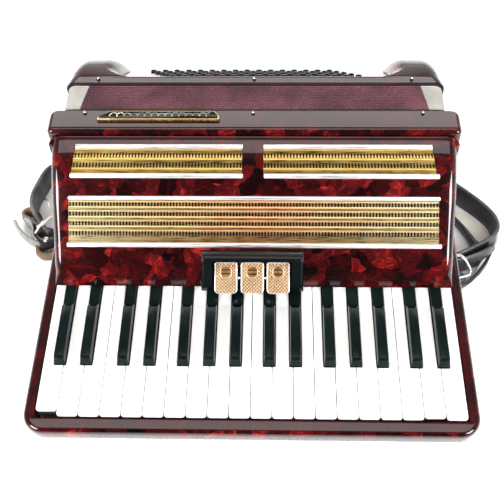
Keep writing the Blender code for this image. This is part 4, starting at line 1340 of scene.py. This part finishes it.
def lamp(name, place, target, size, power):
    data = bpy.data.lights.new(name, "AREA")
    data.shape = "RECTANGLE"
    data.size, data.size_y = size
    data.energy = power
    obj = bpy.data.objects.new(name, data)
    obj.location = place
    obj.rotation_euler = (Vector(target) - Vector(place)).to_track_quat("-Z", "Y").to_euler()
    bpy.context.scene.collection.objects.link(obj)
    return obj


def light():
    world = bpy.data.worlds.new("studio")
    bpy.context.scene.world = world
    world.use_nodes = True
    tree = world.node_tree
    where = tree.nodes.new("ShaderNodeTexCoord").outputs["Generated"]
    split = tree.nodes.new("ShaderNodeSeparateXYZ")
    tree.links.new(where, split.inputs[0])
    ramp = tree.nodes.new("ShaderNodeValToRGB")
    grey_by_height = ((0.0, 0.75), (0.34, 0.6), (0.6, 0.2), (1.0, 0.12))
    set_stops(ramp, [(place, (value, value, value)) for place, value in grey_by_height])
    tree.links.new(split.outputs["Z"], ramp.inputs[0])
    near = tree.nodes.new("ShaderNodeMapRange")
    for name, value in (("From Min", -0.7), ("From Max", -0.1), ("To Min", 0.09), ("To Max", 1.0)):
        near.inputs[name].default_value = value
    tree.links.new(split.outputs["Y"], near.inputs["Value"])
    background = tree.nodes["Background"]
    tree.links.new(ramp.outputs[0], background.inputs["Color"])
    tree.links.new(near.outputs[0], background.inputs["Strength"])
    middle = (0.0, 0.0, 0.1)
    lamp("back_panel", (0.0, 1.63, 1.76), middle, (3.2, 0.75), 24.0)
    lamp("left_head", (-1.35, -1.05, 1.05), middle, (0.7, 0.7), 33.0)
    lamp("right_head", (1.35, -1.05, 1.05), middle, (0.7, 0.7), 33.0)
    overhead = lamp("top_fill", (0.0, 0.12, 2.4), middle, (2.6, 0.9), 17.0)
    overhead.rotation_euler = (0.0, 0.0, 0.0)
    fill = lamp("front_fill", (0.0, -1.3, 1.35), (0.0, -0.05, 0.1), (1.6, 0.8), 26.0)
    fill.visible_glossy = False


def camera():
    data = bpy.data.cameras.new("camera")
    data.sensor_width = 36.0
    data.lens = 58.5
    obj = bpy.data.objects.new("camera", data)
    yaw, pitch, roll = math.radians(-2.737), math.radians(56.25), math.radians(-1.963)
    forward = Vector((math.sin(yaw) * math.cos(pitch), math.cos(yaw) * math.cos(pitch), -math.sin(pitch)))
    level = Vector((math.cos(yaw), -math.sin(yaw), 0.0))
    upright = level.cross(forward)
    right = level * math.cos(roll) + upright * math.sin(roll)
    up = upright * math.cos(roll) - level * math.sin(roll)
    rotation = Matrix((right, up, -forward)).transposed()
    obj.matrix_world = Matrix.Translation((0.0184, -0.4790, 0.7678)) @ rotation.to_4x4()
    bpy.context.scene.collection.objects.link(obj)
    bpy.context.scene.camera = obj


stage()
light()
camera()
bpy.context.scene.view_settings.view_transform = "Standard"
